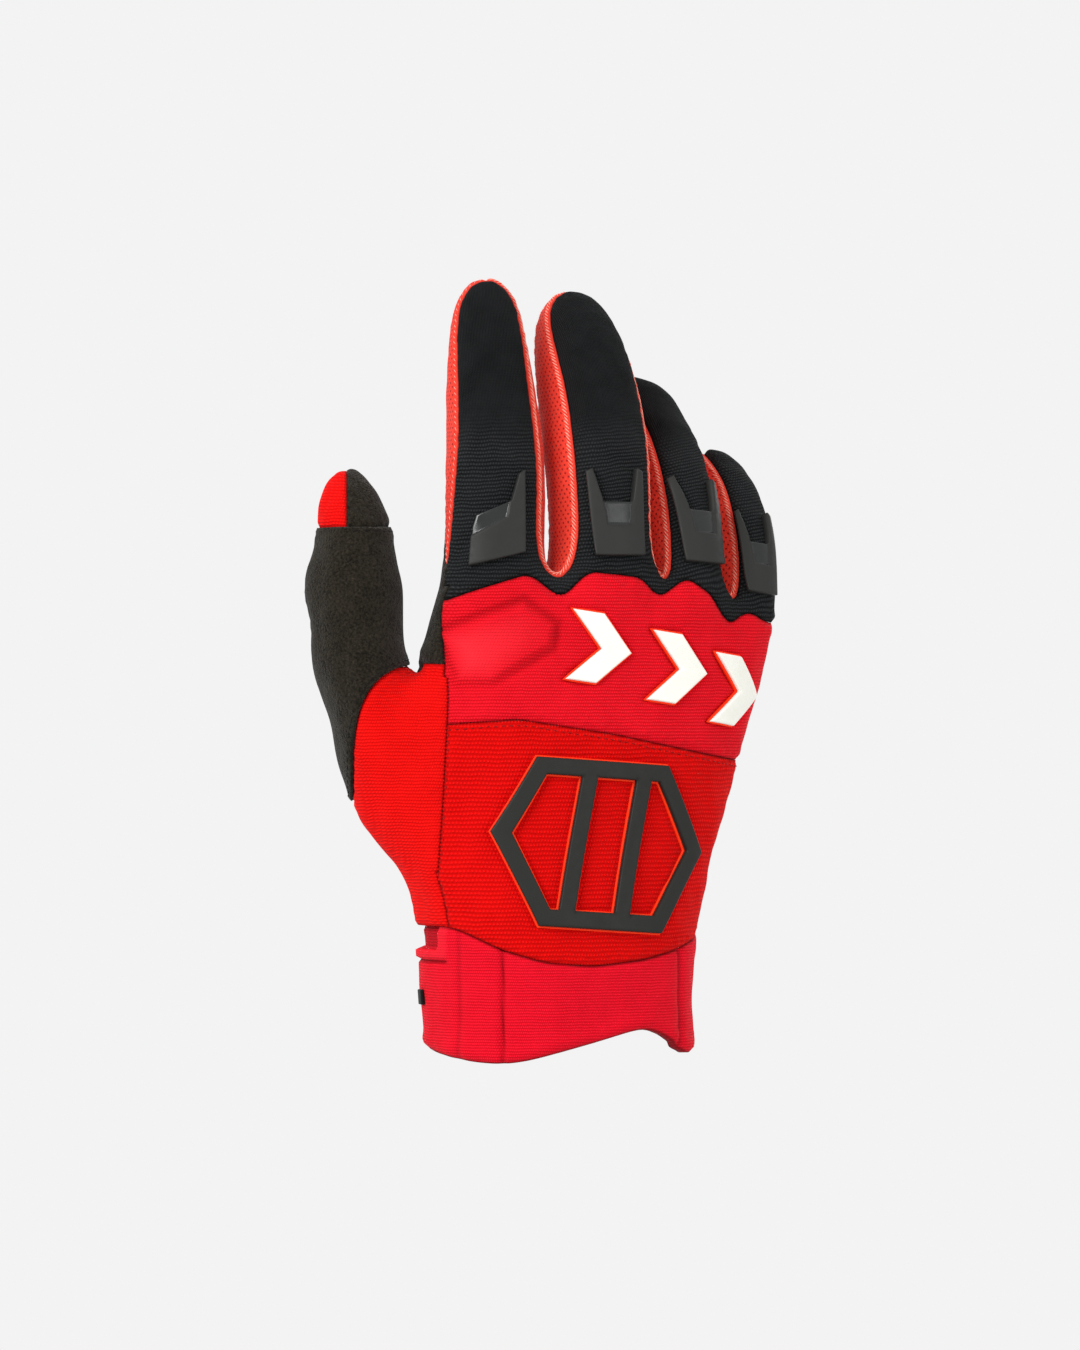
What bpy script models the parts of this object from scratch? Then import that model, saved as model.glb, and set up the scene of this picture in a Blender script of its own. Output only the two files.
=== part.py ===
"""Motocross glove for the right hand, as worn, with nothing in it.

The shell is one smooth surface grown from a coarse cage of quads. It is cut along its seams, and each
panel is thickened into a wall of its own. Rubber guards, bars and a badge lie on the panels.

The tables are measured across, away and up as seen by someone who stands a little to the thumb's side.
The last step turns the glove so that the back of the hand faces -Y. +Z points to the fingertips, and the
origin is the middle of the wrist opening.
"""

import math

import bpy
import numpy as np
from mathutils import Vector
from mathutils.bvhtree import BVHTree
from mathutils.geometry import delaunay_2d_cdt

# Sizes in metres
glove_height = 0.236
hand_breadth = 0.100
hand_depth = 0.038
wrist_breadth = 0.084
wrist_depth = 0.056
finger_breadth = 0.030
finger_depth = 0.029
thumb_breadth = 0.030
thumb_depth = 0.027
web_rise = 0.003
knit_wall = 0.0013
mesh_wall = 0.0011
suede_wall = 0.0011
neoprene_wall = 0.0024
wrap_lift = 0.0006
seam_gap = 0.0003
guard_gap = 0.0007
trim_gap = 0.0004
guard_height = 0.026
guard_width = 0.0165
guard_thickness = 0.0022
motif_height = 0.021
motif_width = 0.020
motif_thickness = 0.0014
badge_width = 0.068
badge_height = 0.050
badge_thickness = 0.0020
badge_stroke = 0.0050
badge_slant = 0.0068
badge_bar_offset = 0.0088
edge_bevel = 0.0005
tab_length = 0.0045
tab_width = 0.0040
tab_thickness = 0.0012

# How the glove is turned from the tables' view to its own front
view_turn = math.radians(25.0)
# How much wider the cage is than the smooth shell in it: round a finger, and round the hand
cage_swell = 1.10
row_swell = 1.056

# How much narrower a panel is on its inner face, as a share of its wall
inner_ease = 0.30
shell_level = 1

# Columns of a shell point
BACK, ALONG, NAIL, TOP = 3, 4, 5, 6

# Zones of the shell
HAND, INDEX, MIDDLE, RING, LITTLE, THUMB = range(6)

# Up is a share of glove_height. Across and away are shares of hand_breadth. Breadth and depth are half
# widths, as shares of finger_breadth and finger_depth. The first row is the knuckle, and the last the tip.
FINGERS = {
    INDEX: {
        "roll": 6.0,
        "rows": (
            (0.585, -0.205, -0.095, 0.500, 0.560),
            (0.632, -0.200, -0.090, 0.480, 0.490),
            (0.712, -0.192, -0.080, 0.497, 0.466),
            (0.780, -0.197, -0.060, 0.475, 0.448),
            (0.870, -0.2145, -0.020, 0.422, 0.400),
            (0.960, -0.226, 0.020, 0.330, 0.320),
            (1.006, -0.223, 0.040, 0.0, 0.0),
        ),
    },
    MIDDLE: {
        "roll": 28.0,
        "rows": (
            (0.592, 0.125, -0.015, 0.510, 0.560),
            (0.632, 0.120, -0.010, 0.483, 0.490),
            (0.699, 0.118, 0.010, 0.500, 0.483),
            (0.771, 0.108, 0.045, 0.517, 0.490),
            (0.862, 0.074, 0.115, 0.490, 0.465),
            (0.944, 0.026, 0.195, 0.375, 0.350),
            (0.993, 0.002, 0.245, 0.0, 0.0),
        ),
    },
    RING: {
        "roll": 38.0,
        "rows": (
            (0.572, 0.360, 0.085, 0.380, 0.500),
            (0.614, 0.352, 0.105, 0.355, 0.450),
            (0.674, 0.345, 0.140, 0.362, 0.455),
            (0.736, 0.318, 0.210, 0.375, 0.450),
            (0.796, 0.262, 0.325, 0.370, 0.415),
            (0.840, 0.205, 0.435, 0.300, 0.310),
            (0.857, 0.175, 0.505, 0.0, 0.0),
        ),
    },
    LITTLE: {
        "roll": 50.0,
        "rows": (
            (0.542, 0.532, 0.225, 0.330, 0.440),
            (0.584, 0.535, 0.245, 0.322, 0.414),
            (0.638, 0.533, 0.275, 0.330, 0.414),
            (0.702, 0.500, 0.355, 0.327, 0.385),
            (0.746, 0.447, 0.455, 0.280, 0.310),
            (0.766, 0.410, 0.525, 0.0, 0.0),
        ),
    },
}

# Up, across and away are as above. Breadth and depth are half widths, as shares of hand_breadth and
# hand_depth. Slope is how far the row rises to the thumb's side, as a share of glove_height. The thumb
# leaves the hand between the second row and the fifth.
HAND_ROWS = (
    (0.520, 0.110, 0.065, 0.527, 0.560, 0.028),
    (0.467, 0.094, 0.055, 0.530, 0.580, 0.010),
    (0.390, 0.064, 0.040, 0.503, 0.620, 0.0),
    (0.305, 0.032, 0.025, 0.473, 0.660, 0.0),
    (0.220, -0.007, 0.010, 0.447, 0.720, 0.0),
)

# The same columns, with breadth and depth as shares of wrist_breadth and wrist_depth
WRIST_ROWS = (
    (0.160, -0.008, 0.000, 0.504, 0.525),
    (0.100, -0.013, 0.000, 0.476, 0.530),
    (0.000, -0.004, 0.000, 0.470, 0.530),
)

# Where the points of a hand row lie from the thumb's side to the other, as shares of its breadth
ROW_SHARES = (0.032, 0.160, 0.300, 0.435, 0.570, 0.685, 0.800, 0.890, 0.965)
ROW_ROUNDNESS = 2.4

# How far the cuff's edge rises above the wrist opening, as shares of glove_height, from the thumb's side on
CUFF_RISE = (
    0.001, -0.008, -0.013, 0.000, 0.012, 0.024, 0.034, 0.018, -0.006, 0.000,
    0.022, 0.030, 0.034, 0.036, 0.036, 0.034, 0.030, 0.022, 0.014, 0.006,
)

# The thumb's rings: up, across and away as above, the lean of its axis in degrees to the thumb's side,
# and half widths as shares of thumb_breadth and thumb_depth. The last row is the tip.
THUMB_ROWS = (
    (0.376, -0.515, -0.090, 75.0, 0.830, 0.690),
    (0.434, -0.562, -0.105, 60.0, 0.640, 0.630),
    (0.494, -0.602, -0.120, 38.0, 0.515, 0.560),
    (0.580, -0.625, -0.130, 2.0, 0.475, 0.490),
    (0.650, -0.620, -0.130, -2.0, 0.375, 0.430),
    (0.712, -0.623, -0.120, -4.0, 0.285, 0.320),
    (0.762, -0.630, -0.110, 0.0, 0.0, 0.0),
)

# The scalloped seam below the finger backs and the seam below the knuckle panel: across and up
SCALLOP = (
    (-0.40, 0.570),
    (-0.351, 0.571),
    (-0.087, 0.605),
    (0.006, 0.573),
    (0.084, 0.608),
    (0.252, 0.600),
    (0.297, 0.573),
    (0.378, 0.602),
    (0.471, 0.576),
    (0.504, 0.538),
    (0.573, 0.560),
    (0.630, 0.543),
)
KNUCKLE_SEAM = ((-0.40, 0.413), (-0.12, 0.421), (0.165, 0.402), (0.54, 0.367), (0.65, 0.355))

# Seams by their share of the way from palm (-1) to back (+1)
side_seam = 0.14
gusset_top = 0.25
gusset_back = -0.04
gusset_wrist_back = -0.52
gusset_turn_from = 0.37
gusset_turn_to = 0.24
fourchette_half = 0.45
fourchette_narrowing = 0.22
strip_narrowing = 0.20

# The seam on the thumb's tip, by the share of the way from its pad (-1) to its nail (+1)
nail_seam = 0.12
sliver_nail = 0.35
sliver_edge = 0.30
sliver_depth = 0.34

# The cuff seam: its height on the palm as a share of glove_height, and its line on the back
cuff_seam_up = 0.160
CUFF_SEAM = (
    (-0.417, 0.165),
    (-0.327, 0.158),
    (-0.174, 0.132),
    (-0.039, 0.116),
    (0.102, 0.111),
    (0.255, 0.118),
    (0.360, 0.130),
    (0.396, 0.139),
)

# The thumb's suede wrap ends along a round corner: across, up and radii, as shares like the rows'
wrap_corner = (-0.40, 0.360)
wrap_radii = (0.22, 0.131)
wrap_power = 2.4
hem_up = 0.663
sliver_up = 0.553
sliver_height = 0.018
sliver_foot = 0.46

COLOURS = {
    "black_knit": ((0.006, 0.007, 0.009), 0.85),
    "red_mesh": ((0.85, 0.035, 0.016), 0.75),
    "black_suede": ((0.018, 0.016, 0.011), 0.95),
    "crimson_knit": ((0.80, 0.008, 0.022), 0.70),
    "scarlet_knit": ((0.85, 0.006, 0.002), 0.75),
    "cuff_jersey": ((0.84, 0.015, 0.032), 0.70),
    "guard_rubber": ((0.032, 0.033, 0.030), 0.45),
    "white_rubber": ((0.86, 0.86, 0.78), 0.40),
    "badge_rubber": ((0.020, 0.021, 0.020), 0.50),
}


def across_up(share_across, share_up):
    """A place in the tables' view, in metres."""
    return share_across * hand_breadth, share_up * glove_height


def place(up, across, away):
    """A point of the tables in metres: across, away, up."""
    return np.array((across * hand_breadth, away * hand_breadth, up * glove_height))


def ease(value):
    """0 below 0, 1 above 1 and a smooth step between."""
    value = np.clip(value, 0.0, 1.0)
    return value * value * (3.0 - 2.0 * value)


class Cage:
    """Points with their seam values, and quads with their zones."""

    def __init__(self):
        self.points = []
        self.quads = []
        self.zones = []

    def point(self, position, back=0.0, along=0.0, nail=0.0, top=-1.0):
        self.points.append((*position, back, along, nail, top))
        return len(self.points) - 1

    def quad(self, corners, zone):
        self.quads.append(corners)
        self.zones.append(zone)

    def tube(self, lower, upper, zone):
        """Joins two rings of as many points."""
        count = len(lower)
        for k in range(count):
            nxt = (k + 1) % count
            self.quad((lower[k], lower[nxt], upper[nxt], upper[k]), zone)

    def cap(self, ring, middle, zone):
        """Closes a ring with quads that meet in one point."""
        count = len(ring)
        for k in range(0, count, 2):
            self.quad((ring[k - 1], ring[k], ring[(k + 1) % count], middle), zone)


def finger_frame(rows, roll, number):
    """The middle of a finger's ring, its directions across and to its back, and its half widths."""
    middle = place(*rows[number][:3])
    before = place(*rows[max(number - 1, 0)][:3])
    after = place(*rows[min(number + 1, len(rows) - 1)][:3])
    axis = (after - before) / np.linalg.norm(after - before)
    back = np.array((math.sin(roll), -math.cos(roll), 0.0))
    back = back - np.dot(back, axis) * axis
    back = back / np.linalg.norm(back)
    half_breadth = rows[number][3] * finger_breadth * cage_swell
    half_depth = rows[number][4] * finger_depth * cage_swell
    return middle, np.cross(axis, back), back, half_breadth, half_depth


def ring_corners(middle, side, back, half_breadth, half_depth):
    """Eight points round a finger: three on its back, its right, three on its palm and its left."""
    corner, shoulder = 0.74, 0.80
    steps = (
        (-corner, shoulder), (0.0, 1.0), (corner, shoulder), (1.0, 0.0),
        (corner, -shoulder), (0.0, -1.0), (-corner, -shoulder), (-1.0, 0.0),
    )
    return [middle + side * half_breadth * s + back * half_depth * b for s, b in steps]


# How far each point of a finger's ring is on its back: 1 on the back's middle, -1 on the palm's
corner_back = 0.6
RING_BACK = (corner_back, 1.0, corner_back, 0.0, -corner_back, -1.0, -corner_back, 0.0)


def add_knuckles(cage):
    """The hand's top row and the webs between the fingers. Gives the row and each finger's base ring."""
    corners = {}
    for zone in (INDEX, MIDDLE, RING, LITTLE):
        finger = FINGERS[zone]
        corners[zone] = ring_corners(*finger_frame(finger["rows"], math.radians(finger["roll"]), 0))
    backs, palms, webs = [], [], []
    for zone in (INDEX, MIDDLE, RING, LITTLE):
        ring = corners[zone]
        if zone == INDEX:
            backs.append(cage.point(ring[0], back=corner_back, top=corner_back - side_seam))
            palms.append(cage.point(ring[6], back=-corner_back))
            webs.append(cage.point(ring[7], back=0.0, top=-side_seam))
        backs.append(cage.point(ring[1], back=1.0, top=1.0))
        palms.append(cage.point(ring[5], back=-1.0))
        if zone == LITTLE:
            backs.append(cage.point(ring[2], back=corner_back, top=corner_back - side_seam))
            palms.append(cage.point(ring[4], back=-corner_back))
            webs.append(cage.point(ring[3], back=0.0, top=-side_seam))
        else:
            following = corners[zone + 1]
            backs.append(cage.point((ring[2] + following[0]) / 2, back=corner_back, top=1.0))
            palms.append(cage.point((ring[4] + following[6]) / 2, back=-corner_back))
            web = (ring[3] + following[7]) / 2
            web[2] += web_rise
            webs.append(cage.point(web, back=0.0, top=0.0))
    bases = {}
    for number, zone in enumerate((INDEX, MIDDLE, RING, LITTLE)):
        first = 2 * number
        bases[zone] = [
            backs[first], backs[first + 1], backs[first + 2], webs[number + 1],
            palms[first + 2], palms[first + 1], palms[first], webs[number],
        ]
    row = [webs[0]] + backs + [webs[4]] + palms[::-1]
    return row, bases


def add_finger(cage, zone, base):
    """Rings from the base to the tip."""
    finger = FINGERS[zone]
    rows = finger["rows"]
    last = len(rows) - 1
    lower = base
    for number in range(1, last):
        corners = ring_corners(*finger_frame(rows, math.radians(finger["roll"]), number))
        along = number / last
        ring = [cage.point(at, back=RING_BACK[k], along=along) for k, at in enumerate(corners)]
        cage.tube(lower, ring, zone)
        lower = ring
    cage.cap(lower, cage.point(place(*rows[last][:3]), along=1.0), zone)


def hand_row_points(up, across, away, half_breadth, half_depth):
    """The twenty points of a row round the hand: thumb's side, back, other side, palm."""
    middle = place(up, across, away)
    side = np.array((math.cos(view_turn), math.sin(view_turn), 0.0))
    back = np.array((math.sin(view_turn), -math.cos(view_turn), 0.0))
    half_breadth *= row_swell
    half_depth *= row_swell
    spots = []
    for share in ROW_SHARES:
        sideways = 2.0 * share - 1.0
        outward = (1.0 - abs(sideways) ** ROW_ROUNDNESS) ** (1.0 / ROW_ROUNDNESS)
        spots.append((sideways, outward))
    backs = [middle + side * half_breadth * s + back * half_depth * o for s, o in spots]
    palms = [middle + side * half_breadth * s - back * half_depth * o for s, o in spots]
    return [middle - side * half_breadth] + backs + [middle + side * half_breadth] + palms[::-1]


def add_hand_row(cage, points, near_thumb):
    """A row of cage points. near_thumb moves its side seam towards the back, where the gusset is sewn in."""
    ring = []
    for k, at in enumerate(points):
        sides = k in (0, 10)
        ends = k in (1, 9)
        back = 0.0 if sides else corner_back if ends else 1.0
        top = back - side_seam
        if k > 10:
            ends = k in (11, 19)
            back = -corner_back if ends else -1.0
            top = -1.0
        if near_thumb and k == 0:
            top = -1.0
        if near_thumb and k == 1:
            top = gusset_top
        ring.append(cage.point(at, back=back, top=top))
    return ring


def add_hand(cage, top_row):
    """Rows from the knuckles to the cuff's edge, with an opening for the thumb. Gives the opening's ring."""
    rows = [top_row]
    for number, (up, across, away, breadth, depth, slope) in enumerate(HAND_ROWS):
        points = hand_row_points(up, across, away, breadth * hand_breadth, depth * hand_depth)
        for at in points:
            sideways = (at[0] / hand_breadth - across) / breadth
            at[2] -= slope * sideways * glove_height
        rows.append(add_hand_row(cage, points, number > 0))
    for number, (up, across, away, breadth, depth) in enumerate(WRIST_ROWS):
        points = hand_row_points(up, across, away, breadth * wrist_breadth, depth * wrist_depth)
        if number == len(WRIST_ROWS) - 1:
            for at, rise in zip(points, CUFF_RISE):
                at[2] += rise * glove_height
        rows.append(add_hand_row(cage, points, True))
    opening_top, opening_foot = 2, 5
    for number in range(len(rows) - 1):
        upper, lower = rows[number], rows[number + 1]
        for k in range(20):
            nxt = (k + 1) % 20
            opened = opening_top <= number < opening_foot and k in (0, 19)
            if not opened:
                cage.quad((upper[k], lower[k], lower[nxt], upper[nxt]), HAND)
    between = range(opening_top, opening_foot + 1)
    near = [rows[number][1] for number in between]
    far = [rows[number][19] for number in between]
    return [rows[opening_top][0]] + near + [rows[opening_foot][0]] + far[::-1]


def add_thumb(cage, opening):
    """Rings from the hand's opening to the thumb's tip."""
    count = len(opening)
    for k, index in enumerate(opening):
        values = list(cage.points[index])
        values[NAIL] = -math.cos(2.0 * math.pi * k / count)
        cage.points[index] = tuple(values)
    last = len(THUMB_ROWS) - 1
    lower = opening
    for number, (up, across, away, lean, breadth, depth) in enumerate(THUMB_ROWS[:last]):
        middle = place(up, across, away)
        lean = math.radians(lean)
        inward = np.array((math.cos(lean), 0.0, math.sin(lean)))
        near = np.array((0.0, -1.0, 0.0))
        ring = []
        for k in range(count):
            angle = 2.0 * math.pi * k / count
            at = middle + inward * (math.cos(angle) * breadth * thumb_breadth * cage_swell)
            at = at + near * (math.sin(angle) * depth * thumb_depth * cage_swell)
            along = (number + 1) / (last + 1)
            ring.append(cage.point(at, back=math.sin(angle), along=along, nail=-math.cos(angle)))
        cage.tube(lower[::-1], ring[::-1], THUMB)
        lower = ring
    cage.cap(lower[::-1], cage.point(place(*THUMB_ROWS[last][:3]), along=1.0), THUMB)


def build_cage():
    cage = Cage()
    top_row, bases = add_knuckles(cage)
    for zone, base in bases.items():
        add_finger(cage, zone, base)
    add_thumb(cage, add_hand(cage, top_row))
    used, quads = np.unique(np.array(cage.quads), return_inverse=True)
    return np.array(cage.points)[used], quads.reshape(-1, 4), np.array(cage.zones)


def smooth_once(points, quads, zones):
    """One Catmull-Clark step on an open mesh of quads, with every column smoothed alike."""
    count = len(points)
    starts = quads.ravel()
    ends = np.roll(quads, -1, axis=1).ravel()
    pairs = np.sort(np.stack([starts, ends], axis=1), axis=1)
    edges, of_corner, used = np.unique(pairs, axis=0, return_inverse=True, return_counts=True)
    of_corner = of_corner.reshape(quads.shape)
    face_points = points[quads].mean(axis=1)
    edge_middles = points[edges].mean(axis=1)
    beside = np.zeros((len(edges), points.shape[1]))
    np.add.at(beside, of_corner.ravel(), np.repeat(face_points, 4, axis=0))
    edge_points = np.where(used[:, None] == 2, (edge_middles * 2 + beside) / 4, edge_middles)
    valence = np.bincount(edges.ravel(), minlength=count)
    faces_sum = np.zeros_like(points)
    np.add.at(faces_sum, starts, np.repeat(face_points, 4, axis=0))
    face_count = np.bincount(starts, minlength=count)
    middles_sum = np.zeros_like(points)
    np.add.at(middles_sum, edges[:, 0], edge_middles)
    np.add.at(middles_sum, edges[:, 1], edge_middles)
    n = valence[:, None]
    moved = (faces_sum / face_count[:, None] + 2 * middles_sum / n + (n - 3) * points) / n
    rim = edges[used == 1]
    on_rim = np.zeros(count, bool)
    on_rim[rim.ravel()] = True
    rim_sum = np.zeros_like(points)
    np.add.at(rim_sum, rim[:, 0], points[rim[:, 1]])
    np.add.at(rim_sum, rim[:, 1], points[rim[:, 0]])
    moved[on_rim] = 0.75 * points[on_rim] + 0.125 * rim_sum[on_rim]
    edge_index = count + of_corner
    face_index = count + len(edges) + np.arange(len(quads))
    parts = []
    for k in range(4):
        parts.append(np.stack([quads[:, k], edge_index[:, k], face_index, edge_index[:, k - 1]], axis=1))
    new_quads = np.stack(parts, axis=1).reshape(-1, 4)
    return np.concatenate([moved, edge_points, face_points]), new_quads, np.repeat(zones, 4)


def to_triangles(points, quads, zones):
    """Splits each quad along its shorter diagonal."""
    at = points[:, :3]
    first = np.linalg.norm(at[quads[:, 0]] - at[quads[:, 2]], axis=1)
    second = np.linalg.norm(at[quads[:, 1]] - at[quads[:, 3]], axis=1)
    by_first = (first <= second)[:, None]
    one = np.where(by_first, quads[:, (0, 1, 2)], quads[:, (0, 1, 3)])
    two = np.where(by_first, quads[:, (0, 2, 3)], quads[:, (1, 2, 3)])
    return np.concatenate([one, two]), np.concatenate([zones, zones])


class Shell:
    """The whole skin as triangles. Each cut adds a seam that no triangle crosses."""

    snap = 0.20

    def __init__(self, points, triangles, zones):
        self.points = points
        self.triangles = triangles
        self.zones = zones
        self.locked = np.zeros(len(points), bool)

    def cut(self, values, inside):
        """Splits the triangles of inside where values change sign. values has one number a point."""
        values = values.copy()
        pairs, of_triangle = self.edges()
        wanted = np.zeros(len(pairs), bool)
        wanted[of_triangle[inside].ravel()] = True
        values = self.snapped(values, pairs, wanted)
        a, b = values[pairs[:, 0]], values[pairs[:, 1]]
        crossed = wanted & (a * b < 0)
        share = np.where(crossed, a / np.where(crossed, a - b, 1.0), 0.0)
        new_at = np.cumsum(crossed) - 1 + len(self.points)
        ends = pairs[crossed]
        t = share[crossed][:, None]
        added = self.points[ends[:, 0]] * (1 - t) + self.points[ends[:, 1]] * t
        on_seam = (values == 0) & self.touched(pairs[wanted], len(values))
        self.locked = np.concatenate([self.locked | on_seam, np.ones(len(added), bool)])
        self.points = np.concatenate([self.points, added])
        self.split(crossed, new_at, of_triangle)

    @staticmethod
    def touched(pairs, count):
        """Marks the points that some pair holds."""
        mark = np.zeros(count, bool)
        mark[pairs.ravel()] = True
        return mark

    def edges(self):
        """Every edge once, and each triangle's three edges: after corner 0, 1 and 2."""
        sides = np.stack([self.triangles, np.roll(self.triangles, -1, axis=1)], axis=2)
        pairs, index = np.unique(np.sort(sides.reshape(-1, 2), axis=1), axis=0, return_inverse=True)
        return pairs, index.reshape(-1, 3)

    def snapped(self, values, pairs, wanted):
        """Moves points that lie close to the seam onto it, so that no thin triangles arise."""
        a, b = values[pairs[:, 0]], values[pairs[:, 1]]
        crossed = wanted & (a * b < 0)
        share = np.where(crossed, a / np.where(crossed, a - b, 1.0), 0.5)
        nearest = {}
        for edge in np.nonzero(crossed & ((share < self.snap) | (share > 1 - self.snap)))[0]:
            near_first = share[edge] < 0.5
            at, other = pairs[edge] if near_first else pairs[edge][::-1]
            way = share[edge] if near_first else 1 - share[edge]
            if at not in nearest or way < nearest[at][0]:
                nearest[at] = (way, other)
        before = self.points.copy()
        for at, (way, other) in nearest.items():
            values[at] = 0.0
            if not self.locked[at]:
                self.points[at] = before[at] * (1 - way) + before[other] * way
        return values

    def split(self, crossed, new_at, of_triangle):
        """Cuts each triangle at its crossed edges."""
        hit = crossed[of_triangle]
        count = hit.sum(axis=1)
        keep = count == 0
        triangles, zones = [self.triangles[keep]], [self.zones[keep]]
        for k in range(3):
            second, third = (k + 1) % 3, (k + 2) % 3
            only = (count == 1) & hit[:, k]
            a, b, c = (self.triangles[only][:, i] for i in (k, second, third))
            m = new_at[of_triangle[only][:, k]]
            triangles += [np.stack([a, m, c], 1), np.stack([m, b, c], 1)]
            zones += [self.zones[only]] * 2
            both = (count == 2) & hit[:, k] & hit[:, second]
            a, b, c = (self.triangles[both][:, i] for i in (k, second, third))
            m = new_at[of_triangle[both][:, k]]
            n = new_at[of_triangle[both][:, second]]
            triangles += [np.stack([m, b, n], 1), np.stack([a, m, n], 1), np.stack([a, n, c], 1)]
            zones += [self.zones[both]] * 3
        self.triangles = np.concatenate(triangles)
        self.zones = np.concatenate(zones)

    def column(self, name):
        return self.points[:, name]

    def middles(self, values):
        """The mean of a value over each triangle."""
        return values[self.triangles].mean(axis=1)

    def normals(self):
        """The outward direction at each point."""
        at = self.points[:, :3]
        a, b, c = (at[self.triangles[:, k]] for k in range(3))
        flat = np.cross(b - a, c - a)
        total = np.zeros_like(at)
        for k in range(3):
            np.add.at(total, self.triangles[:, k], flat)
        return total / np.linalg.norm(total, axis=1)[:, None]


def curve(table, shell):
    """How high each point lies above a seam that is drawn across and up."""
    across = np.array([row[0] for row in table]) * hand_breadth
    up = np.array([row[1] for row in table]) * glove_height
    return shell.points[:, 2] - np.interp(shell.points[:, 0], across, up)


def cuff_field(shell):
    """Positive above the cuff's seam, which dips on the back of the hand."""
    on_back = ease(shell.column(BACK))
    on_palm = shell.points[:, 2] - cuff_seam_up * glove_height
    return on_palm * (1.0 - on_back) + curve(CUFF_SEAM, shell) * on_back


def gusset_field(shell):
    """Positive on the back's side of the seam of gusset and palm, which turns to the palm near the wrist."""
    share_up = shell.points[:, 2] / glove_height
    turned = ease((gusset_turn_from - share_up) / (gusset_turn_from - gusset_turn_to))
    return shell.column(BACK) - gusset_back - turned * (gusset_wrist_back - gusset_back)


def wrap_field(shell):
    """Positive on the hand's side of the edge of the thumb's suede wrap."""
    across, up = across_up(*wrap_corner)
    radius_across, radius_up = across_up(*wrap_radii)
    sideways = np.maximum(0.0, across - shell.points[:, 0]) / radius_across
    upward = np.maximum(0.0, shell.points[:, 2] - up) / radius_up
    return 1.0 - sideways**wrap_power - upward**wrap_power


def far_nail_field(shell):
    """Positive on the strip of knit that the wrap leaves bare on the far side of the nail."""
    share_up = shell.points[:, 2] / glove_height
    rise = (share_up - sliver_up) / sliver_height
    edge = sliver_edge - sliver_depth * np.exp(-rise * rise)
    beside = np.minimum(shell.column(NAIL) - sliver_nail, -shell.column(BACK) - edge)
    return np.minimum(beside, (share_up - sliver_foot) / sliver_height)


def fourchette_top(shell):
    """How far a fourchette reaches from the middle of a finger's side, narrower to the tip."""
    return fourchette_half - fourchette_narrowing * ease((shell.column(ALONG) - 0.55) / 0.40)


def strip_edges(shell):
    """The back and palm edges of the strips on the two outer sides, which meet at the knuckle."""
    wide = ease(shell.column(ALONG) / 0.55)
    narrow = strip_narrowing * ease((shell.column(ALONG) - 0.60) / 0.35)
    back = side_seam + (fourchette_half - side_seam) * wide - narrow
    palm = side_seam - (fourchette_half + side_seam) * wide + narrow
    return back, palm


FINGER_ZONES = (INDEX, MIDDLE, RING, LITTLE)
strip_start, strip_end = 0.10, 0.93


def cut_seams(shell):
    """Adds every seam to the shell. A later cut doesn't move a point of an earlier one."""
    def zones_are(*names):
        return np.isin(shell.zones, names)

    def mean(values):
        return shell.middles(values)

    shell.cut(cuff_field(shell), zones_are(HAND))
    above = mean(cuff_field(shell)) > 0
    shell.cut(shell.column(TOP), zones_are(HAND) & above)
    on_back = zones_are(HAND) & (mean(shell.column(TOP)) > 0) & (mean(cuff_field(shell)) > 0)
    shell.cut(curve(SCALLOP, shell), on_back)
    on_back = zones_are(HAND) & (mean(shell.column(TOP)) > 0) & (mean(cuff_field(shell)) > 0)
    shell.cut(curve(KNUCKLE_SEAM, shell), on_back)
    side = zones_are(HAND, THUMB) & (mean(shell.column(TOP)) < 0) & (mean(shell.points[:, 0]) < 0)
    shell.cut(wrap_field(shell), side & (mean(cuff_field(shell)) > 0) & (mean(shell.column(BACK)) > -0.9))
    side = zones_are(HAND, THUMB) & (mean(shell.column(TOP)) < 0) & (mean(shell.points[:, 0]) < 0)
    inner = side & (mean(wrap_field(shell)) > 0) & (mean(cuff_field(shell)) > 0)
    shell.cut(gusset_field(shell), inner)
    outer = zones_are(THUMB) & (mean(wrap_field(shell)) < 0)
    shell.cut(shell.points[:, 2] - hem_up * glove_height, outer)
    above_hem = zones_are(THUMB) & (mean(shell.points[:, 2]) > hem_up * glove_height)
    shell.cut(shell.column(NAIL) - nail_seam, above_hem)
    below_hem = zones_are(THUMB) & (mean(wrap_field(shell)) < 0)
    below_hem &= mean(shell.points[:, 2]) < hem_up * glove_height
    shell.cut(far_nail_field(shell), below_hem)
    for sign in (1.0, -1.0):
        reach = fourchette_top(shell)
        inner_sides = zones_are(*FINGER_ZONES) & ~outer_side(shell)
        shell.cut(sign * shell.column(BACK) - reach, inner_sides)
    for number in range(2):
        outer_sides = zones_are(*FINGER_ZONES) & outer_side(shell)
        shell.cut(shell.column(BACK) - strip_edges(shell)[number], outer_sides)
    for limit in (strip_start, strip_end):
        shell.cut(shell.column(ALONG) - limit, in_strip(shell) & outer_side(shell))
    shell.cut(shell.column(ALONG) - strip_end, in_strip(shell))
    shell.cut(shell.column(BACK), zones_are(*FINGER_ZONES) & (mean(shell.column(ALONG)) > strip_end))


def finger_middle(shell, zone):
    """How far each triangle lies beside its finger's middle, positive away from the thumb."""
    rows = np.array([row[:3] for row in FINGERS[zone]["rows"]])
    up = rows[:, 0] * glove_height
    roll = math.radians(FINGERS[zone]["roll"])
    at = shell.points[shell.triangles][:, :, :3].mean(axis=1)
    across = at[:, 0] - np.interp(at[:, 2], up, rows[:, 1] * hand_breadth)
    away = at[:, 1] - np.interp(at[:, 2], up, rows[:, 2] * hand_breadth)
    return across * math.cos(roll) + away * math.sin(roll)


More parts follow.
